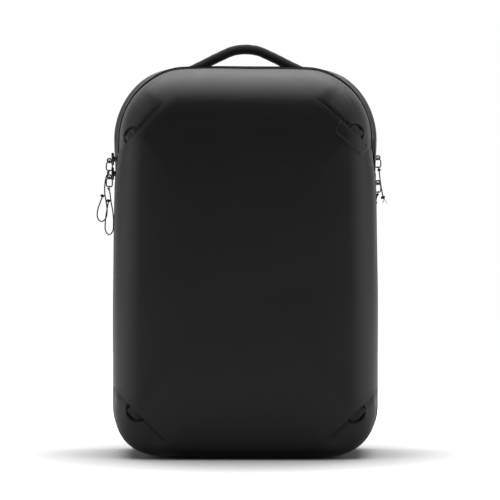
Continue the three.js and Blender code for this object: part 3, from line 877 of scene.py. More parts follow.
class PACK_OT_front(bpy.types.Operator):
    """Front panel, its four corner patches with their slit hems, and a row of stitches along each slit"""
    bl_idname = "pack.front"
    bl_label = "Front panel and corners"

    def execute(self, context):
        size = sizes()
        whole = lid_skin("lid_form", "coated")
        panel = whole.copy()
        panel.data = whole.data.copy()
        panel.name = "front_skin"
        context.collection.objects.link(panel)
        for corner in SLITS:
            cut(panel, corner, keep_patch=False)
        for corner in SLITS:
            patch = whole.copy()
            patch.data = whole.data.copy()
            patch.name = f"patch_{corner}"
            context.collection.objects.link(patch)
            patch.data.materials[0] = finish("patch")
            cut(patch, corner, keep_patch=True)
            points = coordinates(patch)
            drop = lip_height(points, corner, size.lip)
            set_coordinates(patch, points - drop[:, None] * vertex_normals(patch))
            thicken(patch, size.skin * 0.6)
            settle(patch, "lid", "patch", f"corner_patch_{corner}")
        for corner in SLITS:
            places, normal = drop_onto(panel, slit_points(corner, 60, 0.02, 0.93, -0.0006))
            swell = smooth(np.linspace(0.0, 7.0, len(places)))
            rolled = places - normal * size.hem * 0.75
            hem = rod(f"hem_{corner}", rolled, size.hem, finish("coated"), 8, (0, -1, 0),
                      scale=0.25 + 0.75 * swell)
            settle(hem, "lid", "coated")
            seam_run, seam_up = drop_onto(panel, slit_points(corner, 60, 0.0, 0.93, -0.0052), 0.0002)
            row = stitches(f"slit_stitches_{corner}", seam_run, seam_up, finish("thread"), size.stitch,
                           0.0022, 0.00022)
            settle(row, "lid", "thread")
        thicken(panel, size.skin)
        settle(panel, "lid", "coated", "front_panel")
        bpy.data.objects.remove(whole)
        return {"FINISHED"}


class PACK_OT_corner_loops(bpy.types.Operator):
    """Half rings of braided cord that come out from under the slits, with their sewn ends"""
    bl_idname = "pack.corner_loops"
    bl_label = "Corner loops"

    CENTRES = {"top_left": (0.62, 0.0120), "top_right": (0.655, 0.0116),
               "low_left": (0.56, 0.0130), "low_right": (0.55, 0.0130)}

    def execute(self, context):
        for corner, (part, radius) in self.CENTRES.items():
            inner, outer, along, away = slit_frame(corner)
            centre = inner + part * (outer - inner)
            turn = np.linspace(-0.12, math.pi + 0.12, 40)
            flat = (centre + radius * np.cos(turn)[:, None] * along
                    + (radius * 1.02 * np.sin(turn)[:, None] - 0.002) * away)
            skin = bpy.data.objects[f"patch_{corner}"]
            beyond = np.maximum((flat - centre) @ away, 0.0012)
            base = flat + (beyond - (flat - centre) @ away)[:, None] * away
            places, normal = drop_onto(skin, base[:, [0, 2]])
            middle, out = places.mean(axis=0), unit(normal.mean(axis=0))
            fit = places - ((places - middle) @ out)[:, None] * out * 0.55
            path = fit + out * 0.0017
            path[:, [0, 2]] += (flat - base)[:, [0, 2]]
            cord = rod(f"loop_{corner}", path, 0.0019, finish("loop"), 12, tuple(out))
            settle(cord, "lid", "loop", f"corner_loop_{corner}")
            foot, foot_up = drop_onto(skin, slit_points(corner, 14, part - 0.125, part + 0.125, 0.0026),
                                      0.0008)
            pad = bar(f"loop_tape_{corner}", foot, 0.0105, 0.0014, foot_up, finish("webbing"))
            settle(pad, "lid", "webbing")
        return {"FINISHED"}


class PACK_OT_tab(bpy.types.Operator):
    """Blank stitched tab folded over the lip of the upper right slit"""
    bl_idname = "pack.tab"
    bl_label = "Blank tab"

    def execute(self, context):
        panel = bpy.data.objects["front_skin"]
        inner, outer, _, away = slit_frame("top_right")
        long_part = np.linspace(0.40, 0.93, 34)
        wide_part = np.linspace(0.0006, -0.0172, 12)
        slant = 0.06 * np.clip(1 - np.arange(34) / 6.0, 0, 1)
        grid = (inner
                + (long_part[:, None, None] + slant[:, None, None] * (wide_part / -0.0172)[None, :, None])
                * (outer - inner) + wide_part[None, :, None] * away)
        places, normal = drop_onto(panel, grid.reshape(-1, 3)[:, [0, 2]])
        edge = np.minimum.outer(np.minimum(np.arange(34), np.arange(34)[::-1]) * 0.6,
                                np.minimum(np.arange(12), np.arange(12)[::-1]) * 0.8)
        crown = 0.0006 + 0.0011 * smooth(edge / 1.2)
        top = places.reshape(34, 12, 3) + crown[..., None] * normal.reshape(34, 12, 3)
        tab = surface("side_tab", top, finish("patch"), sharp=None)
        thicken(tab, 0.0016)
        settle(tab, "lid", "patch", "blank_tab")
        rim = np.concatenate([top[1:-1, 2], top[-2, 3:-2], top[-2:0:-1, -2], top[1, -3:2:-1]])
        row = stitches("tab_stitches", rim, (0, -1, 0), finish("thread"), sizes().stitch * 0.8, 0.0019,
                       0.00024)
        settle(row, "lid", "thread")
        return {"FINISHED"}


class PACK_OT_lid_inside(bpy.types.Operator):
    """Lid lining, and the mesh pocket on it with its binding and zip"""
    bl_idname = "pack.lid_inside"
    bl_label = "Lid lining and pocket"

    def execute(self, context):
        lining = lid_skin("lid_lining", "lining", 0.010)
        settle(thicken(lining, 0.0006), "lid", "lining")
        low, high = (np.array(v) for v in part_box("lid_mesh_pocket"))
        loop = shell_loop(low[1], HALF - high[0], TOP - high[2] + 0.002, low[2])[0]
        share = np.linspace(1.0, 0.001, 30)[:, None, None]
        heart = np.array([0.0, low[1], 0.25])
        grid = heart + share * (loop[None] - heart)
        grid[..., 1] -= 0.010 * (1 - share[..., 0] ** 2)
        net = surface("lid_pocket_net", grid, finish("mesh"), wrap=(False, True), flat_map=cloth_map,
                      sharp=None)
        settle(net, "lid", "mesh", "lid_mesh_pocket")
        edge = np.roll(loop, 5, axis=0)
        binding = surface("lid_pocket_binding",
                          sweep(edge, slab_profile(0.012, 0.0022), (0, 1, 0), closed=True),
                          finish("webbing"), wrap=(True, True))
        settle(binding, "lid", "webbing")
        across = np.stack([np.linspace(-0.11, 0.11, 60), np.full(60, low[1] + 0.0004),
                           np.full(60, high[2] - 0.07)], 1)
        settle(bar("lid_pocket_zip", across, 0.016, 0.0016, (0, 1, 0), finish("tape")), "lid", "tape")
        settle(bar("lid_pocket_coil", across + [0, 0.0012, 0], 0.0042, 0.002, (0, 1, 0), finish("coil")),
               "lid", "coil")
        return {"FINISHED"}


# ---- The shell and its zips -----------------------------------------------------------------------

GUSSET_ROWS = np.array([(-0.025, 0.0, 0.0, 0.003), (-0.006, 0.0, 0.0005, 0.003), (0.010, 0.0, 0.003, 0.003),
                        (0.025, 0.0, 0.006, 0.003), (0.040, 0.001, 0.010, 0.003),
                        (0.058, 0.004, 0.018, 0.004),
                        (0.070, 0.010, 0.028, 0.008)])


def rows_between(rows, count):
    """Rows of depth and insets, filled in smoothly between the given ones."""
    depth = np.linspace(rows[0, 0], rows[-1, 0], count)
    knots = rows[:, 0]
    slope = np.gradient(rows, knots, axis=0)
    k = np.clip(np.searchsorted(knots, depth, side="right") - 1, 0, len(knots) - 2)
    span = (knots[k + 1] - knots[k])[:, None]
    s = (depth - knots[k])[:, None] / span
    a = (2 * s**3 - 3 * s**2 + 1) * rows[k] + (s**3 - 2 * s**2 + s) * span * slope[k]
    return a + (3 * s**2 - 2 * s**3) * rows[k + 1] + (s**3 - s**2) * span * slope[k + 1]


def tub(name, key, inset=0.0, rim=-0.0265):
    """The shell's side wall as one closed band: outline rows from the rim to the back seam."""
    rows = rows_between(GUSSET_ROWS, 26)
    rows[0, 0] = rim
    grid = shell_loop(rows[:, 0], rows[:, 1] + inset, rows[:, 2] + inset, rows[:, 3] + inset)
    return surface(name, rumple(grid, 0.0004), finish(key), wrap=(False, True), flat_map=cloth_map,
                   sharp=None)


def trim(name, y, side, top, bottom, radius, key, body, *nodes, lift=0.0, wider=0.0):
    """A closed round welt that runs round the whole outline at one depth, wider by a share at the two
    upper corners, where its outer side stays on the outline."""
    loop = shell_loop(y, side - lift, top - lift, bottom - lift)[0]
    swell = wider * shoulder_weight(loop)
    loop = loop - (radius * swell)[:, None] * unit(loop * [1, 0, 1] - [0.0, 0.0, 0.35])
    grid = sweep(loop, ring_profile(radius, 12), (0, 1, 0), 1.0 + swell, closed=True)
    return settle(surface(name, grid, finish(key), wrap=(True, True), sharp=None), body, key, *nodes)


class PACK_OT_shell(bpy.types.Operator):
    """Side gusset, back cloth, base cloth and lining, with the piping and stitching of their seams"""
    bl_idname = "pack.shell"
    bl_label = "Shell"

    def execute(self, context):
        size = sizes()
        wall = tub("gusset_cloth", "shell")
        points = coordinates(wall)
        slot = ((points[:, 0] > 0.15) & (np.abs(points[:, 1] - 0.053) < 0.0036)
                & (points[:, 2] > 0.09) & (points[:, 2] < 0.41))
        points[slot, 0] -= 0.0015
        set_coordinates(wall, points)
        settle(thicken(wall, size.skin), "bag", "shell", "side_gusset")
        lining = tub("shell_lining", "lining", 0.0042, -0.024)
        settle(thicken(lining, 0.0006), "bag", "lining")
        share = np.linspace(1.0, 0.0, 22)[:-1, None, None]
        seam = shell_loop(0.0712, 0.0105, 0.0285, 0.0085)[0]
        soft = shell_loop(0.0753, 0.0180, 0.0380, 0.0160)[0]
        heart = np.array([0.0, 0.0752, 0.24])
        grid = np.concatenate([seam[None], (seam * 0.4 + soft * 0.6)[None],
                               heart + share * (soft[None] - heart)])
        back = surface("back_cloth", grid, finish("weave"), wrap=(False, True), flat_map=cloth_map,
                       ends=True, sharp=None)
        settle(back, "bag", "weave", "back_panel")
        trim("rim_welt", RIM_Y - 0.0006, 0, 0, GUSSET_LOW[2], size.piping * 1.15, "piping", "bag",
             lift=-0.0008,
             wider=0.1)
        trim("back_welt", 0.0712, 0.0102, 0.0282, 0.0082, size.piping, "piping", "bag")
        for k, y in enumerate((-0.0185, 0.0655)):
            row = rows_between(GUSSET_ROWS, 200)
            at = row[np.argmin(np.abs(row[:, 0] - y))]
            loop = shell_loop(at[0], at[1] - 0.0002, at[2] - 0.0002, at[3] - 0.0002)[0]
            outwards = unit(loop - np.array([0.0, y, 0.25]))
            path = np.concatenate([loop, loop[:1]])
            settle(stitches(f"gusset_stitches_{k}", path, np.concatenate([outwards, outwards[:1]]),
                            finish("thread"),
                            size.stitch, 0.0024, 0.00028), "bag", "thread")
        low, high = (np.array(v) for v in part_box("base_panel"))
        middle, reach = (low + high) / 2, (high - low) / 2
        turn = np.linspace(0.0, 2 * math.pi, 96, endpoint=False)
        ring = np.stack([np.sign(np.cos(turn)) * np.abs(np.cos(turn)) ** 0.3 * reach[0],
                         np.sign(np.sin(turn)) * np.abs(np.sin(turn)) ** 0.45 * reach[1]], 1)
        level = np.array([(0.72, low[2]), (0.97, low[2]), (0.995, low[2] + 0.0008), (1.0, middle[2]),
                          (0.99, high[2] - 0.0003), (0.9, high[2])])
        grid = np.stack([middle[0] + level[:, :1] * ring[:, 0], middle[1] + level[:, :1] * ring[:, 1],
                         np.broadcast_to(level[:, 1:], (len(level), 96))], axis=2)
        settle(surface("base_cloth", grid, finish("weave"), wrap=(False, True), ends=True), "bag", "weave",
               "base_panel")
        return {"FINISHED"}


def tooth_row(name, path, outwards, pitch, sign, key, body):
    """One side of a zip's coil: small loops in a row, each reaching towards the other side's row."""
    run = np.concatenate([[0.0], np.cumsum(np.linalg.norm(np.diff(path, axis=0), axis=1))])
    even = np.arange(pitch / 2 * (1.5 + 0.5 * sign), run[-1], pitch)

    def sample(values):
        return np.stack([np.interp(even, run, values[:, k]) for k in range(3)], axis=1)

    centre, out = sample(path), unit(sample(outwards))
    along = unit(sample(np.gradient(path, axis=0)))
    across = np.cross(along, out) * sign
    axes = np.stack([across * 0.0017, along * 0.00062, out * 0.0010], axis=1)
    verts, faces = bead_shape(4)
    piece = scatter(name, verts, faces, centre + 0.0006 * across, axes, finish(key))
    return settle(piece, body, key)


def open_loop(y, inset, gap):
    """The zip's way round the pack, from one end of the spine to the other: the outline without the
    right side's straight run."""
    loop = shell_loop(y, inset, inset + gap, inset + SHELL_LIFT)[0]
    return loop[:-RUN_SIDE]


class PACK_OT_main_zip(bpy.types.Operator):
    """The main zip: a coated tape and a row of coil on the shell, the same on the lid, and the spine"""
    bl_idname = "pack.main_zip"
    bl_label = "Main zip"

    def execute(self, context):
        pitch = sizes().tooth
        for body, near, far, node, sign, gap in (("bag", RIM_Y - 0.0004, SEAM_Y + 0.0002, "zip_shell_half",
                                                  1, 0.0),
                                                 ("lid", LID_RIM_Y + 0.0004, SEAM_Y - 0.0002,
                                                  "zip_lid_half", -1, 0.0035)):
            part = np.linspace(0.0, 1.0, 7)
            depth = near + (far - near) * part
            inset = 0.0012 + 0.0022 * smooth(part / 0.5)
            grid = shell_loop(depth, inset, inset + gap * (1 - part * 0.4), inset + SHELL_LIFT * 0.9)
            tape = surface(f"zip_tape_{body}", grid, finish("tape"), wrap=(False, True), flat_map=cloth_map,
                           sharp=None)
            settle(thicken(tape, 0.0009), body, "tape", node)
            path = open_loop(SEAM_Y + sign * 0.0009, 0.0031, gap * 0.6)
            outwards = unit(path - np.array([0.0, SEAM_Y, 0.25]))
            outwards[:, 1] = 0.0
            tooth_row(f"zip_coil_{body}", path, outwards, pitch, 1 if sign > 0 else -1, "coil", body)
        y = np.linspace(RIM_Y + 0.001, LID_RIM_Y - 0.001, 13)
        z = np.linspace(0.062, 0.408, 60)
        side = HALF * (1.0 - 0.017 * smooth((z - 0.2) / 0.25)) + 0.0004
        bulge = 0.0006 * np.sin(np.linspace(0, math.pi, 13))
        grid = np.stack([side[:, None] + bulge[None], np.broadcast_to(y, (60, 13)),
                         np.broadcast_to(z[:, None], (60, 13))], axis=2)
        spine = surface("spine_cloth", grid, finish("shell"), flat_map=cloth_map, sharp=None)
        thicken(spine, 0.0012)
        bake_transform(spine)
        return {"FINISHED"}


class PACK_OT_laptop_zip(bpy.types.Operator):
    """The upright laptop zip in the right side, with its flaps"""
    bl_idname = "pack.laptop_zip"
    bl_label = "Laptop zip"

    def execute(self, context):
        low, high = (np.array(v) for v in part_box("laptop_zip"))
        y = (low[1] + high[1]) / 2
        z = np.linspace(low[2] + 0.002, high[2] - 0.002, 120)
        side = HALF * (1.0 - 0.017 * smooth((z - 0.2) / 0.25))
        path = np.stack([side - 0.0042, np.full(120, y), z], axis=1)
        out = np.broadcast_to([1.0, 0.0, 0.0], path.shape)
        tape = bar("laptop_zip_tape", path, high[1] - low[1] + 0.002, 0.0012, out, finish("tape"))
        settle(tape, "bag", "tape", "laptop_zip")
        for sign, tag in ((1, "rear"), (-1, "front")):
            tooth_row(f"laptop_coil_{tag}", path + [0.0012, sign * 0.0008, 0], out, sizes().tooth, sign,
                      "coil", "bag")
            flap = path + np.array([0.0044, sign * 0.0052, 0.0])
            settle(bar(f"laptop_flap_{tag}", flap, 0.0052, 0.0016, out, finish("piping"),
                       scale=np.clip(np.minimum(np.arange(120), np.arange(120)[::-1]) / 3.0, 0.2,
                                     1.0)), "bag", "piping")
            seam = path + np.array([0.0045, sign * 0.0115, 0.0])
            settle(stitches(f"laptop_stitches_{tag}", seam, out, finish("thread"), sizes().stitch, 0.0023,
                            0.00026),
                   "bag", "thread")
        return {"FINISHED"}


# ---- Hardware -------------------------------------------------------------------------------------

def softened(name, node, key, body, radius=0.0005, steps=2):
    """A frame part's own shape with its edges rounded: merged, its flat faces joined, and bevelled."""
    source = bpy.data.objects[node] if node in bpy.data.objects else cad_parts[node]
    piece = bpy.data.objects.new(name, source.data.copy())
    bpy.context.collection.objects.link(piece)
    piece.data.materials.clear()
    piece.data.materials.append(finish(key))
    work = bmesh.new()
    work.from_mesh(piece.data)
    bmesh.ops.remove_doubles(work, verts=work.verts, dist=1e-5)
    bmesh.ops.dissolve_limit(work, angle_limit=math.radians(3.0), verts=work.verts, edges=work.edges)
    work.to_mesh(piece.data)
    work.free()
    rounding = piece.modifiers.new("round edges", "BEVEL")
    rounding.width = radius
    rounding.segments = steps
    rounding.limit_method = "ANGLE"
    rounding.angle_limit = math.radians(32.0)
    apply_modifiers(piece)
    bpy.context.view_layer.update()
    cut_faces = bmesh.new()
    cut_faces.from_mesh(piece.data)
    bmesh.ops.triangulate(cut_faces, faces=cut_faces.faces)
    cut_faces.to_mesh(piece.data)
    cut_faces.free()
    piece.data.polygons.foreach_set("use_smooth", [True] * len(piece.data.polygons))
    piece.data.set_sharp_from_angle(angle=math.radians(35.0))
    return settle(piece, body, key, node)


def pillow_plate(name, middle, deep, wide, tall):
    """A small metal plate, deep along x, with a rounded outline and rounded edges: a superellipse
    whose size falls by a quarter ellipse towards both faces."""
    turn = np.linspace(0.0, 2 * math.pi, 40, endpoint=False)
    ring_y = wide / 2 * np.sign(np.cos(turn)) * np.abs(np.cos(turn)) ** 0.55
    ring_z = tall / 2 * np.sign(np.sin(turn)) * np.abs(np.sin(turn)) ** 0.55
    level = np.array([(-1.0, 0.80), (-0.93, 0.92), (-0.7, 1.0), (0.7, 1.0), (0.93, 0.92), (1.0, 0.80)])
    grid = np.stack([np.broadcast_to(middle[0] + level[:, :1] * deep / 2, (6, 40)),
                     middle[1] + level[:, 1:] * ring_y, middle[2] + level[:, 1:] * ring_z], axis=2)
    return surface(name, grid, finish("metal"), wrap=(False, True), ends=True, sharp=45.0)


PULLS = {"left_upper": -1, "left_lower": -1, "right_upper": 1, "right_lower": 1}


class PACK_OT_sliders(bpy.types.Operator):
    """Zip sliders, each with its crown and throat plates, and their round wire pulls"""
    bl_idname = "pack.sliders"
    bl_label = "Zip sliders and wire pulls"

    def execute(self, context):
        for which, side in PULLS.items():
            body = f"slider_{which}"
            softened(f"slider_form_{which}", f"zip_slider_{which}", "metal", body, 0.0006)
            low, high = (np.array(v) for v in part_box(f"zip_slider_{which}"))
            y = (low[1] + high[1]) / 2
            near, far = side * (HALF - 0.0032), side * (HALF + 0.0022)
            for tag, x, wide, tall in (("crown", near, 0.0080, 0.0135),
                                       ("throat", (near + far) / 2, 0.0042, 0.0075)):
                deep = 0.0022 if tag == "crown" else abs(far - near) + 0.0024
                plate = pillow_plate(f"slider_{tag}_{which}", (x, y, (low[2] + high[2]) / 2), deep, wide,
                                     tall)
                settle(plate, body, "metal")
            low, high = (np.array(v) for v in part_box(f"wire_pull_{which}"))
            radius = (high[0] - low[0]) / 2
            middle = (low + high) / 2
            half_y, half_z = 1.25 * ((high[1] - low[1]) / 2 - radius), (high[2] - low[2]) / 2 - radius
            turn = np.linspace(0.0, 2 * math.pi, 64, endpoint=False)
            y = half_y * np.sign(np.cos(turn)) * np.abs(np.cos(turn)) ** 0.5
            z = half_z * np.sign(np.sin(turn)) * np.abs(np.sin(turn)) ** 0.42
            twist = side * math.radians(74.0) * smooth((half_z - z - 0.0006) / 0.0045)
            path = np.stack([middle[0] - y * np.sin(twist), middle[1] + y * np.cos(twist), middle[2] + z],
                            axis=1)
            up = np.stack([np.cos(twist), np.sin(twist), np.zeros(64)], axis=1)
            grid = sweep(path, ring_profile(radius * 1.1, 10), up, closed=True)
            settle(surface(f"wire_{which}", grid, finish("metal"), wrap=(True, True), sharp=None),
                   f"pull_{which}", "metal", f"wire_pull_{which}")
        return {"FINISHED"}


CORD_WIDTH = 0.0016
ROUTES = {
    "left_upper": [(-0.1772, -0.0334, 0.3658), (-0.1796, -0.0364, 0.361), (-0.1815, -0.0375, 0.352),
                   (-0.1818, -0.038, 0.338), (-0.1798, -0.0386, 0.326), (-0.1788, -0.039, 0.314),
                   (-0.181, -0.0394, 0.305), (-0.186, -0.0394, 0.3015), (-0.1908, -0.0394, 0.306),
                   (-0.191, -0.039, 0.316), (-0.1875, -0.0386, 0.327), (-0.1846, -0.0382, 0.335)],
    "left_lower": [(-0.1772, -0.028, 0.3448), (-0.1758, -0.027, 0.339), (-0.1748, -0.0265, 0.330),
                   (-0.1722, -0.026, 0.315), (-0.1713, -0.026, 0.300), (-0.173, -0.026, 0.288),
                   (-0.177, -0.026, 0.2845), (-0.181, -0.026, 0.289), (-0.1818, -0.026, 0.302),
                   (-0.1796, -0.026, 0.318), (-0.1776, -0.026, 0.329)],
    "right_upper": [(0.178, 0.055, 0.3726), (0.1788, 0.058, 0.366), (0.1805, 0.060, 0.353),
                    (0.1825, 0.0605, 0.342), (0.184, 0.0605, 0.334)],
    "right_lower": [(0.176, 0.053, 0.3394), (0.174, 0.052, 0.332), (0.1726, 0.049, 0.318),
                    (0.1724, 0.0495, 0.307), (0.1724, 0.053, 0.302), (0.1724, 0.0565, 0.307),
                    (0.1726, 0.057, 0.318), (0.1732, 0.0556, 0.328)],
}


def knot(name, centre, along, radius, key, body):
    """An overhand knot: a thick cord on a three-lobed path wound round the cord's own direction."""
    along = unit(np.asarray(along, float))
    side = unit(np.cross(along, (0.3, 1.0, 0.2)))
    up = np.cross(along, side)
    turn = np.linspace(0.0, 2 * math.pi, 48, endpoint=False)
    path = (np.asarray(centre)[None] + radius * (np.sin(turn) + 1.6 * np.sin(2 * turn))[:, None] * 0.42 * side
            + radius * (np.cos(turn) - 1.6 * np.cos(2 * turn))[:, None] * 0.42 * up
            - radius * np.sin(3 * turn)[:, None] * 0.55 * along)
    grid = sweep(path, ring_profile(radius * 0.44, 8), along, closed=True)
    return settle(surface(name, grid, finish(key), wrap=(True, True), sharp=None), body, key)


class PACK_OT_pull_cords(bpy.types.Operator):
    """The four zip pull cords: loops of thin braided cord, their knots and their frayed ends"""
    bl_idname = "pack.pull_cords"
    bl_label = "Pull cords"

    def execute(self, context):
        for which, route in ROUTES.items():
            body = f"pull_{which}"
            path = through(route, 34)
            cord = rod(f"cord_{which}", path, CORD_WIDTH / 2, finish("braid"), 8, (0, 1, 0))
            settle(cord, body, "braid", f"pull_cord_{which}")
            start, end = unit(path[1] - path[0]), unit(path[-1] - path[-2])
            bar_low, bar_high = (np.array(v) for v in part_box(f"wire_pull_{which}"))
            eye = path[0].copy()
            foot = (bar_low + bar_high) / 2
            foot[2] = bar_low[2] + CORD_WIDTH / 2
            lean = unit(foot - eye)
            turn = np.linspace(0.0, 2 * math.pi, 36, endpoint=False)
            reach = np.linalg.norm(foot - eye) + 0.0012
            swing = np.array([0.0, 1.0, 0.0])
            hitch = (eye + foot + 0.0012 * lean)[None] / 2 + (np.cos(turn) * reach / 2)[:, None] * lean + (
                np.sin(turn) * 0.0013)[:, None] * swing
            on_cord = [settle(surface(f"hitch_{which}", sweep(hitch, ring_profile(CORD_WIDTH * 0.42, 8),
                                                              np.cross(lean, swing), closed=True),
                                      finish("braid"), wrap=(True, True), sharp=None), body, "braid"),
                       knot(f"hitch_knot_{which}", eye - 0.0006 * lean, lean, 0.0014, "braid", body)]
            if which == "right_upper":
                on_cord.append(knot(f"knot_{which}", path[-1] - 0.0012 * end, end, 0.0021, "braid", body))
                for k, (turn, reach) in enumerate(((0.35, 0.0085), (-0.42, 0.0075), (0.02, 0.0058))):
                    lean = np.array([math.cos(turn) * end[0] - math.sin(turn) * end[2], 0.25 * turn,
                                     math.sin(turn) * end[0] + math.cos(turn) * end[2]])
                    fray = path[-1] + np.linspace(0.0, 1.0, 8)[:, None] * reach * unit(lean)
                    fray[:, 0] += 0.0012 * np.sin(np.linspace(0, 2.4, 8) + k)
                    tail = rod(f"fray_{k}_{which}", fray, 0.0005, finish("braid"), 6,
                               scale=np.linspace(1.0, 0.35, 8))
                    on_cord.append(settle(tail, body, "braid"))
                on_cord.append(knot(f"top_knot_{which}", path[0] + 0.001 * start, start, 0.0017, "braid",
                                    body))
            else:
                on_cord.append(knot(f"knot_{which}", path[-1], end, 0.0019, "braid", body))
        return {"FINISHED"}


# ---- Handle ---------------------------------------------------------------------------------------

class PACK_OT_handle(bpy.types.Operator):
    """Top handle: a woven sleeve over a round core, with flat sewn roots that bend into the seam"""
    bl_idname = "pack.handle"
    bl_label = "Handle"

    def execute(self, context):
        low, high = (np.array(v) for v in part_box("handle_grip"))
        y = (low[1] + high[1]) / 2
        radius = (high[1] - low[1]) / 2
        crest = high[2] - radius
        half = [(-0.1035, 0.4912), (-0.086, 0.4985), (-0.061, 0.510), (-0.036, 0.5225), (-0.014, 0.5315)]
        spots = half + [(0.0, crest)] + [(-x, z) for x, z in half[::-1]]
        path = through([(x, y, z) for x, z in spots], 110)
        part = np.linspace(-1.0, 1.0, 110)
        thin = 1.0 - 0.22 * smooth((np.abs(part) - 0.82) / 0.18)
        wave = 1.0 + 0.012 * np.sin(part * 60.0)
        grip = rod("handle_sleeve", path, radius, finish("sleeve"), 26, (0, 1, 0),
                   scale=np.stack([thin * wave, 1.0 + 0.10 * smooth((np.abs(part) - 0.82) / 0.18)], 1))
        settle(grip, "handle", "sleeve", "handle_grip")
        under = path - [0.0, 0.0, radius * 0.99]
        settle(stitches("handle_seam", under[8:-8], (0, 0, -1), finish("thread"), sizes().stitch, 0.0023,
                        0.0003),
               "handle", "thread")
        for sign, tag in ((-1, "left"), (1, "right")):
            root = through([(sign * 0.097, y, 0.4945), (sign * 0.108, y, 0.4885), (sign * 0.115, y, 0.4842),
                            (sign * 0.122, y, 0.4800), (sign * 0.130, y, 0.4735)], 30)
            wide = np.linspace(1.0, 1.5, 30)
            strip = bar(f"handle_root_{tag}", root, 0.0125, 0.0042, (0, 0, 1), finish("webbing"),
                        scale=np.stack([wide, np.linspace(1.6, 0.6, 30)], 1))
            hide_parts(f"handle_anchor_{tag}")
            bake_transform(strip)
            for k in (-1, 1):
                line = root[3:13] + [0.0, k * 0.0052, 0.0062]
                settle(stitches(f"root_stitches_{tag}_{k + 1}", line, (0, 0, 1), finish("thread"), 0.0028,
                                0.002,
                                0.0003), "handle", "thread")
        return {"FINISHED"}


# ---- Back and harness -----------------------------------------------------------------------------

def drop_behind(target, points, lift=0.0):
    """Points of the rear view carried onto a piece along the line of sight, and their normals."""
    tree = bvhtree.BVHTree.FromObject(target, bpy.context.evaluated_depsgraph_get())
    found = []
    for x, z in points:
        hit = tree.ray_cast((x, BACK_Y + 0.2, z), (0, -1, 0))
        found.append(hit if hit[0] is not None else tree.find_nearest((x, BACK_Y + 0.01, z)))
    place, normal = np.array([hit[0] for hit in found]), np.array([hit[1] for hit in found])
    return place + lift * normal, normal


def pillow(name, low, high, key, columns=96, square=5.0, fill=0.8, crown=3.5):
    """A closed pad: its outline is a superellipse, its near face is flat, and its far face rises by
    the root of one less a power of the share of the way to its edge."""
    middle, reach = (low + high) / 2, (high - low) / 2
    turn = np.linspace(0.0, 2 * math.pi, columns, endpoint=False)
    ring_x = reach[0] * np.sign(np.cos(turn)) * np.abs(np.cos(turn)) ** (2 / square)
    ring_z = reach[2] * np.sign(np.sin(turn)) * np.abs(np.sin(turn)) ** (2 / square)
    flat, risen = np.linspace(0.02, 1.0, 10), np.linspace(1.0, 0.02, 22)
    share = np.concatenate([flat, risen])[:, None]
    depth = (high[1] - low[1]) * fill
    y = np.concatenate([np.full(10, low[1]),
                        low[1] + 0.0008 + (depth - 0.0008) * (1 - risen ** crown) ** 0.5])
    grid = np.stack([middle[0] + share * ring_x, np.broadcast_to(y[:, None], (32, columns)),
                     middle[2] + share * ring_z], axis=2)
    return surface(name, grid, finish(key), wrap=(False, True), ends=True, sharp=None)


def puff_up(piece, voxel=0.005, cap=0.006, pressure=4.0, ceiling=None):
    """Let the pad fill: remeshed evenly, swollen by cloth pressure with its near face held, then each
    point's way is capped and the mesh is divided once."""
    even = piece.modifiers.new("even mesh", "REMESH")
    even.mode, even.voxel_size = "VOXEL", voxel
    apply_modifiers(piece)
    start = coordinates(piece)
    held = piece.vertex_groups.new(name="held")
    near = np.flatnonzero(start[:, 1] < start[:, 1].min() + 0.0025)
    held.add(near.tolist(), 1.0, "REPLACE")
    cloth = piece.modifiers.new("cloth", "CLOTH")
    cloth.settings.use_pressure = True
    cloth.settings.uniform_pressure_force = pressure
    cloth.settings.effector_weights.gravity = 0.0
    cloth.settings.vertex_group_mass = "held"
    for step in range(1, 21):
        bpy.context.scene.frame_set(step)
    graph = bpy.context.evaluated_depsgraph_get()
    swollen = np.empty(start.size)
    piece.evaluated_get(graph).data.vertices.foreach_get("co", swollen)
    moved = swollen.reshape(-1, 3) - start
    far = np.linalg.norm(moved, axis=1, keepdims=True)
    moved *= np.minimum(1.0, cap / np.maximum(far, 1e-9))
    piece.modifiers.clear()
    bpy.context.scene.frame_set(1)
    points = start + moved
    if ceiling is not None:
        points[:, 1] = np.minimum(points[:, 1], ceiling)
    set_coordinates(piece, points)
    finer = piece.modifiers.new("smoother", "SUBSURF")
    finer.levels = finer.render_levels = 1
    apply_modifiers(piece)


def press_channels(piece, base, lines, depth=0.006, width=0.0036):
    """Press sewn channels into a pad: each point sinks by a bell curve of its distance to a line, and
    by its share of the pad's height."""
    points = coordinates(piece)
    sunk = np.zeros(len(points))
    for a, b in lines:
        a, b = np.array(a), np.array(b)
        along = unit(b - a)
        span = np.linalg.norm(b - a)
        flat = points[:, [0, 2]] - a
        run = np.clip(flat @ along, 0.0, span)
        far = np.linalg.norm(flat - run[:, None] * along, axis=1)
        sunk = np.maximum(sunk, depth * np.exp(-(far / width) ** 2))
    height = points[:, 1] - base
    points[:, 1] -= np.minimum(sunk, height * 0.75) * smooth(height / 0.006)
    set_coordinates(piece, points)


def own_map(piece):
    """Give a pad cloth coordinates: across and up, as seen from behind."""
    mesh = piece.data
    layer = mesh.uv_layers.get("weave") or mesh.uv_layers.new(name="weave")
    corner = np.empty(len(mesh.loops), dtype=np.int32)
    mesh.loops.foreach_get("vertex_index", corner)
    points = coordinates(piece)[corner]
    flat = np.stack([points[:, 0] + points[:, 1], points[:, 2] + points[:, 1]], axis=1)
    layer.data.foreach_set("uv", flat.astype(np.float32).ravel())


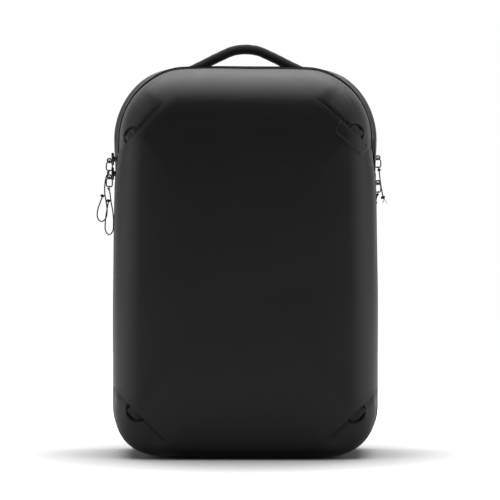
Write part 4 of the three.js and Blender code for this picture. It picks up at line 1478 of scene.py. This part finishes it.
class PACK_OT_back_pads(bpy.types.Operator):
    """The two back pads and the lumbar pad: swollen knit with sewn channels, binding and stitching"""
    bl_idname = "pack.back_pads"
    bl_label = "Back and lumbar pads"

    def execute(self, context):
        for node in ("back_pad_left", "back_pad_right", "lumbar_pad"):
            low, high = (np.array(v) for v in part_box(node))
            shrink = np.array([0.0045, 0.0, 0.0045])
            pad = pillow(f"{node}_form", low + shrink, high - shrink, "knit")
            puff_up(pad, ceiling=high[1] + 0.001)
            x0, z0, x1, z1 = low[0] + 0.012, low[2] + 0.012, high[0] - 0.012, high[2] - 0.012
            if node == "lumbar_pad":
                third = (x1 - x0) / 3
                lines = [((x0 + k * third, z0),
                          (x0 + k * third - 0.4 * third * (1.5 - k), z1)) for k in (1, 2)]
            else:
                lines = [((x0, z0 + f * (z1 - z0)), (x1, z0 + (f + t) * (z1 - z0)))
                         for f, t in ((0.30, 0.06), (0.64, 0.06))]
                if high[0] < 0:
                    lines = [((x0, z0 + (f + 0.06) * (z1 - z0)), (x1, z0 + f * (z1 - z0))) for f in (0.30,
                                                                                                     0.64)]
            press_channels(pad, low[1], lines)
            own_map(pad)
            settle(pad, "bag", "knit", node)
            for k, (a, b) in enumerate(lines):
                run = np.linspace(np.array(a), np.array(b), 60)
                places, normal = drop_behind(pad, run, 0.0003)
                settle(stitches(f"{node}_stitches_{k}", places, normal, finish("thread"), sizes().stitch,
                                0.0024, 0.0003), "bag", "thread")
            middle, reach = (low + high) / 2, (high - low) / 2
            turn = np.linspace(0.0, 2 * math.pi, 150, endpoint=False)
            ring = np.stack([middle[0] + (reach[0] - 0.003) * np.sign(np.cos(turn)) * np.abs(np.cos(turn)) ** 0.4,
                             np.full(150, low[1] + 0.0014),
                             middle[2] + (reach[2] - 0.003) * np.sign(np.sin(turn)) * np.abs(np.sin(turn)) ** 0.4], 1)
            binding = surface(f"{node}_binding",
                              sweep(ring, ring_profile(0.0022, 8, 0.7), (0, 1, 0), closed=True),
                              finish("webbing"), wrap=(True, True), sharp=None)
            settle(binding, "bag", "webbing")
        return {"FINISHED"}


STRAP_PATH = [(0.066, 0.088, 0.461), (0.073, 0.100, 0.449), (0.082, 0.116, 0.428), (0.087, 0.125, 0.405),
              (0.088, 0.126, 0.395), (0.088, 0.126, 0.300), (0.092, 0.125, 0.270), (0.101, 0.120, 0.232),
              (0.111, 0.112, 0.196), (0.116, 0.108, 0.180)]
STRAP_WIDTHS = (0.042, 0.050, 0.056, 0.058, 0.058, 0.058, 0.057, 0.052, 0.044, 0.036)
WEB_PATH = [(0.138, 0.0805, 0.064), (0.133, 0.088, 0.092), (0.126, 0.097, 0.126), (0.119, 0.105, 0.155),
            (0.1172, 0.1058, 0.162), (0.117, 0.1062, 0.1655), (0.117, 0.1092, 0.1662),
            (0.1175, 0.1105, 0.158),
            (0.1195, 0.1088, 0.140), (0.1225, 0.1045, 0.122)]


def mirrored(side, points):
    """The same points on the side whose sign is given."""
    return np.asarray(points, float) * [side, 1.0, 1.0]


class PACK_OT_straps(bpy.types.Operator):
    """Shoulder straps: padded knit with a cloth face, bound edges, webbing and rows of stitching"""
    bl_idname = "pack.straps"
    bl_label = "Shoulder straps"

    def execute(self, context):
        count = 130
        for side, tag in ((-1, "left"), (1, "right")):
            path = through(mirrored(side, STRAP_PATH), count)
            knots = np.concatenate([[0.0], np.cumsum(np.linalg.norm(np.diff(STRAP_PATH, axis=0), axis=1))])
            wide = np.interp(np.linspace(0.0, 1.0, count), knots / knots[-1], STRAP_WIDTHS)
            out = np.array([0.0, 1.0, 0.25])
            turn = np.linspace(0.0, 2 * math.pi, 44, endpoint=False)
            tall = 0.0108 * (1.0 - 0.45 * smooth((np.abs(np.linspace(-1, 1, count)) - 0.9) / 0.1))
            quilt = 1.0 - 0.10 * np.exp(-((np.mod(np.linspace(0, 7, count), 1.0) - 0.5) / 0.10) ** 2)
            x = (wide[:, None] / 2 - 0.0012) * np.sign(np.cos(turn)) * np.abs(np.cos(turn)) ** 0.55
            y = (tall * quilt)[:, None] / 2 * np.sign(np.sin(turn)) * np.abs(np.sin(turn)) ** 0.8
            grid = sweep(path, np.stack([x, y], axis=2), out)
            pad = surface(f"strap_{tag}", grid, finish("knit"), wrap=(False, True), ends=True, sharp=None)
            settle(pad, f"strap_{tag}", "knit", f"strap_pad_{tag}")
            _, across, up = frames(path, out)
            face_x = np.linspace(-1.0, 1.0, 15)
            rise = (tall * quilt)[:, None] / 2 * (1 - np.abs(face_x * 0.93) ** 4) ** 0.4 + 0.0006
            cover = (path[:, None] + (wide[:, None] / 2 * 0.93 * face_x)[..., None] * across[:, None]
                     + rise[..., None] * up[:, None])
            face = surface(f"strap_cover_{tag}", cover[2:-2], finish("shell"), sharp=None)
            settle(thicken(face, 0.0011, offset=1.0), f"strap_{tag}", "shell")
            for k in (-1, 1):
                edge = path + (k * (wide / 2 - 0.0012))[:, None] * across
                bind = rod(f"strap_binding_{tag}_{k + 1}", edge[1:-1], 0.0021, finish("webbing"), 8, out)
                settle(bind, f"strap_{tag}", "webbing")
                seam = cover[3:-3, 7 + 6 * k] + 0.0013 * up[3:-3]
                settle(stitches(f"strap_stitches_{tag}_{k + 1}", seam, up[3:-3], finish("thread"),
                                sizes().stitch, 0.0023, 0.00028), f"strap_{tag}", "thread")
            strip = cover[24:-1, 7] + 0.0020 * up[24:-1]
            settle(bar(f"strap_web_strip_{tag}", strip, 0.020, 0.0017, up[24:-1], finish("webbing")),
                   f"strap_{tag}", "webbing")
            for k in (-1, 1):
                line = strip[2:-6] + (k * 0.0082) * across[26:-7] + 0.001 * up[26:-7]
                settle(stitches(f"strip_stitches_{tag}_{k + 1}", line, up[26:-7], finish("thread"),
                                sizes().stitch, 0.0022, 0.00026), f"strap_{tag}", "thread")
            link = mirrored(side, [(0.1150, 0.1135, 0.190), (0.1158, 0.1130, 0.183), (0.1165, 0.1100, 0.177),
                                   (0.1170, 0.1080, 0.1745), (0.1168, 0.1035, 0.1745),
                                   (0.1160, 0.1025, 0.180)])
            settle(bar(f"lock_loop_{tag}", through(link, 26), 0.0195, 0.0016, (0, 1, 0.6), finish("webbing")),
                   f"strap_{tag}", "webbing")
            softened(f"lock_form_{tag}", f"ladder_lock_{tag}", "plastic", f"strap_{tag}", 0.0011, 3)
            root = through(mirrored(side, [(0.060, 0.0790, 0.432), (0.0615, 0.0800, 0.447),
                                           (0.0635, 0.0845, 0.4585),
                                           (0.067, 0.0915, 0.4605), (0.071, 0.0990, 0.4525)]), 34)
            fold = bar(f"strap_root_{tag}", root, 0.043, 0.0046, (0, 1, 0.8), finish("shell"),
                       scale=np.stack([np.linspace(1.0, 1.08, 34), np.ones(34)], 1))
            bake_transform(fold)
            web = through(mirrored(side, WEB_PATH), 96)
            lower = bar(f"lower_web_{tag}", web, 0.0196, 0.0016, (0.0, 1.0, 0.0), finish("webbing"))
            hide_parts(f"strap_web_{tag}")
            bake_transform(lower)
            wing = softened(f"wing_form_{tag}", f"strap_wing_{tag}", "weave", "bag", 0.0009, 3)
            own_map(wing)
            corners = mirrored(side, [(0.121, 0.0786, 0.043), (0.143, 0.0786, 0.043), (0.143, 0.0786, 0.066),
                                      (0.1298, 0.0786, 0.0595), (0.121, 0.0786, 0.043)])
            settle(stitches(f"wing_stitches_{tag}", np.concatenate([np.linspace(a, b, 12) for a, b in
                                                                    zip(corners[:-1], corners[1:])]),
                            (0, 1, 0), finish("thread"), 0.003, 0.0021, 0.0003), "bag", "thread")
        return {"FINISHED"}


class PACK_OT_sternum(bpy.types.Operator):
    """Sternum strap: sliders on the shoulder straps, two webs and the side-release buckle"""
    bl_idname = "pack.sternum"
    bl_label = "Sternum strap"

    def execute(self, context):
        for tag in ("left", "right"):
            softened(f"sternum_clip_{tag}", f"sternum_slider_{tag}", "plastic", f"sternum_{tag}", 0.0012, 3)
            low, high = (np.array(v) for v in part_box(f"sternum_web_{tag}"))
            middle = (low + high) / 2
            path = np.linspace([low[0], middle[1], middle[2]], [high[0], middle[1], middle[2]], 24)
            web = bar(f"sternum_strip_{tag}", path, high[2] - low[2], high[1] - low[1], (0, 1, 0),
                      finish("webbing"))
            settle(web, f"sternum_{tag}", "webbing", f"sternum_web_{tag}")
        softened("buckle_socket", "sternum_buckle_female", "plastic", "sternum_left", 0.0013, 3)
        softened("buckle_tongue", "sternum_buckle_male", "plastic", "sternum_male", 0.0008, 2)
        return {"FINISHED"}


class PACK_OT_back_trim(bpy.types.Operator):
    """Harness yoke and the luggage band with its sewn ends"""
    bl_idname = "pack.back_trim"
    bl_label = "Yoke and luggage band"

    def execute(self, context):
        low, high = (np.array(v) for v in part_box("harness_yoke"))
        yoke = pillow("yoke_cloth", low, high, "shell", fill=1.0, crown=9.0, square=7.0)
        own_map(yoke)
        settle(yoke, "bag", "shell", "harness_yoke")
        for k, z in enumerate((low[2] + 0.005, low[2] + 0.009, high[2] - 0.005)):
            run = np.stack([np.linspace(low[0] + 0.006, high[0] - 0.006, 70), np.full(70, z)], axis=1)
            places, normal = drop_behind(yoke, run, 0.0002)
            settle(stitches(f"yoke_stitches_{k}", places, normal, finish("thread"), sizes().stitch, 0.0023,
                            0.0003),
                   "bag", "thread")
        low, high = (np.array(v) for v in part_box("luggage_band"))
        x = np.linspace(low[0], high[0], 90)
        rise = smooth((high[0] - np.abs(x)) / 0.010 - 0.15)
        path = np.stack([x, low[1] + 0.0013 + (high[1] - low[1] - 0.0026) * rise,
                         np.full(90, (low[2] + high[2]) / 2)], 1)
        band = bar("luggage_cloth", path, high[2] - low[2], 0.0024, (0, 1, 0), finish("shell"))
        settle(band, "bag", "shell", "luggage_band")
        for k, z in enumerate((low[2] + 0.0035, high[2] - 0.0035)):
            line = path[3:-3] + [0.0, 0.0014, z - path[0, 2]]
            settle(stitches(f"band_stitches_{k}", line, (0, 1, 0), finish("thread"), sizes().stitch, 0.0023,
                            0.0003),
                   "bag", "thread")
        return {"FINISHED"}


class PACK_OT_inside(bpy.types.Operator):
    """What is inside the shell: the padded laptop divider, the document pocket and the frame sheet"""
    bl_idname = "pack.inside"
    bl_label = "Divider and pocket"

    def execute(self, context):
        softened("frame_board", "frame_sheet", "sheet", "bag", 0.0005, 1)
        low, high = (np.array(v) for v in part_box("laptop_divider"))
        share = np.linspace(0.02, 1.0, 26)
        loop = shell_loop(0.0, HALF - high[0], TOP - high[2] + 0.0022, low[2] + 0.0022)[0]
        heart = np.array([0.0, 0.0, 0.25])
        half = (high[1] - low[1]) / 2
        grids = []
        for sign, parts in ((-1.0, share), (1.0, share[::-1])):
            level = heart + parts[:, None, None] * (loop - heart)
            puffed = half * (1 - parts[:, None] ** 14) ** 0.5
            quilt = 1 - 0.35 * np.exp(-((np.mod(level[..., 2] + level[..., 0], 0.05) - 0.025) / 0.003) ** 2)
            quilt *= 1 - 0.35 * np.exp(-((np.mod(level[..., 2] - level[..., 0], 0.05) - 0.025) / 0.003) ** 2)
            level[..., 1] = low[1] + half + sign * (puffed * quilt)
            grids.append(level)
        panel = surface("divider_quilt", np.concatenate(grids), finish("lining"), wrap=(False, True),
                        ends=True,
                        flat_map=cloth_map, sharp=None)
        settle(panel, "bag", "lining", "laptop_divider")
        edge = loop + [0.0, low[1] + half, 0.0]
        binding = surface("divider_binding",
                          sweep(edge * [0.9985, 1, 1], ring_profile(0.0024, 8), (0, 1, 0), closed=True),
                          finish("webbing"), wrap=(True, True), sharp=None)
        settle(binding, "bag", "webbing")
        low, high = (np.array(v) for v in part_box("document_pocket"))
        pocket = pillow("pocket_cloth", low, high, "shell", fill=1.0, crown=12.0, square=9.0)
        own_map(pocket)
        settle(pocket, "bag", "shell", "document_pocket")
        top = np.stack([np.linspace(low[0] + 0.004, high[0] - 0.004, 40), np.full(40, (low[1] + high[1]) / 2),
                        np.full(40, high[2] - 0.004)], 1)
        settle(bar("pocket_binding", top, 0.010, high[1] - low[1] + 0.0008, (0, 1, 0), finish("webbing")),
               "bag", "webbing")
        return {"FINISHED"}


# ---- Stage ----------------------------------------------------------------------------------------

class PACK_OT_stage(bpy.types.Operator):
    """Plain white floor, soft lights above and at the sides, and the camera in front"""
    bl_idname = "pack.stage"
    bl_label = "Stage"

    def execute(self, context):
        stage = context.scene.pack_stage
        scene = context.scene
        scene.view_settings.view_transform = "Standard"
        floor = new_object("floor", [(-3, -3, 0), (3, -3, 0), (3, 3, 0), (-3, 3, 0)], [(0, 1, 2, 3)],
                           None, floor_paint("studio paper", tuple(stage.paper)))
        world = bpy.data.worlds.new("studio")
        scene.world = world
        world.use_nodes = True
        tree = world.node_tree
        tree.nodes.clear()
        seen = tree.nodes.new("ShaderNodeLightPath")
        mixer = tree.nodes.new("ShaderNodeMixShader")
        glow, wall = tree.nodes.new("ShaderNodeBackground"), tree.nodes.new("ShaderNodeBackground")
        glow.inputs[0].default_value, glow.inputs[1].default_value = (1, 1, 1, 1), 0.07
        wall.inputs[0].default_value, wall.inputs[1].default_value = (1, 1, 1, 1), 1.0
        out = tree.nodes.new("ShaderNodeOutputWorld")
        tree.links.new(seen.outputs["Is Camera Ray"], mixer.inputs[0])
        tree.links.new(glow.outputs[0], mixer.inputs[1])
        tree.links.new(wall.outputs[0], mixer.inputs[2])
        tree.links.new(mixer.outputs[0], out.inputs[0])
        aim = mathutils.Vector((0.006, 0.0, stage.eye))
        for name, place, wide, tall, power, target in (
                ("overhead", (0.0, 0.35, 2.1), 2.6, 2.5, 105.0, (0.0, 0.0, 0.3)),
                ("left_strip", (-1.9, -0.1, 0.6), 2.0, 1.5, 15.0, (0.0, 0.0, 0.25)),
                ("right_strip", (1.9, -0.1, 0.6), 2.0, 1.5, 15.0, (0.0, 0.0, 0.25)),
                ("backdrop_glow", (0.0, 2.7, 1.2), 4.0, 2.4, 26.0, (0.0, 0.0, 0.5))):
            lamp = bpy.data.objects.new(name, bpy.data.lights.new(name, "AREA"))
            lamp.data.shape, lamp.data.size, lamp.data.size_y, lamp.data.energy = "RECTANGLE", wide, tall, power
            lamp.location = place
            lamp.visible_camera = False
            towards = mathutils.Vector(target) - lamp.location
            lamp.rotation_euler = towards.to_track_quat("-Z", "Y").to_euler()
            context.collection.objects.link(lamp)
        camera = bpy.data.objects.new("camera", bpy.data.cameras.new("camera"))
        camera.location = (aim.x, CROWN_Y + 0.068 - stage.distance, aim.z)
        camera.rotation_euler = (math.pi / 2, 0.0, 0.0)
        camera.data.sensor_width = 36.0
        camera.data.lens = 36.0 * stage.distance / stage.view_width
        camera.data.clip_start, camera.data.clip_end = 0.05, 60.0
        context.collection.objects.link(camera)
        scene.camera = camera
        return {"FINISHED"}


# ---- The add-on -----------------------------------------------------------------------------------

STEPS = (PACK_OT_stage, PACK_OT_pull_cords, PACK_OT_front, PACK_OT_corner_loops, PACK_OT_tab,
         PACK_OT_lid_inside, PACK_OT_shell, PACK_OT_main_zip, PACK_OT_laptop_zip, PACK_OT_sliders,
         PACK_OT_handle, PACK_OT_back_pads, PACK_OT_back_trim, PACK_OT_straps, PACK_OT_sternum,
         PACK_OT_inside)


class PACK_PT_panel(bpy.types.Panel):
    """Lists the backpack's pieces and their settings"""
    bl_label = "Travel Backpack"
    bl_idname = "PACK_PT_panel"
    bl_space_type = "VIEW_3D"
    bl_region_type = "UI"
    bl_category = "Backpack"

    def draw(self, context):
        for group in (context.scene.pack_sizes, context.scene.pack_colours, context.scene.pack_stage):
            for name in group.__annotations__:
                self.layout.prop(group, name)
        for step in STEPS:
            self.layout.operator(step.bl_idname)


CLASSES = (PackColours, PackSizes, StageSettings) + STEPS + (PACK_PT_panel,)


def register():
    """Registers the classes and hangs their settings on the scene."""
    for cls in CLASSES:
        bpy.utils.register_class(cls)
    bpy.types.Scene.pack_colours = PointerProperty(type=PackColours)
    bpy.types.Scene.pack_sizes = PointerProperty(type=PackSizes)
    bpy.types.Scene.pack_stage = PointerProperty(type=StageSettings)


def unregister():
    """Takes the settings and the classes away again."""
    del bpy.types.Scene.pack_stage, bpy.types.Scene.pack_sizes, bpy.types.Scene.pack_colours
    for cls in reversed(CLASSES):
        bpy.utils.unregister_class(cls)


def main():
    """Build the whole pack in order."""
    register()
    for step in STEPS:
        group, name = step.bl_idname.split(".")
        getattr(getattr(bpy.ops, group), name)()


if __name__ == "__main__":
    main()
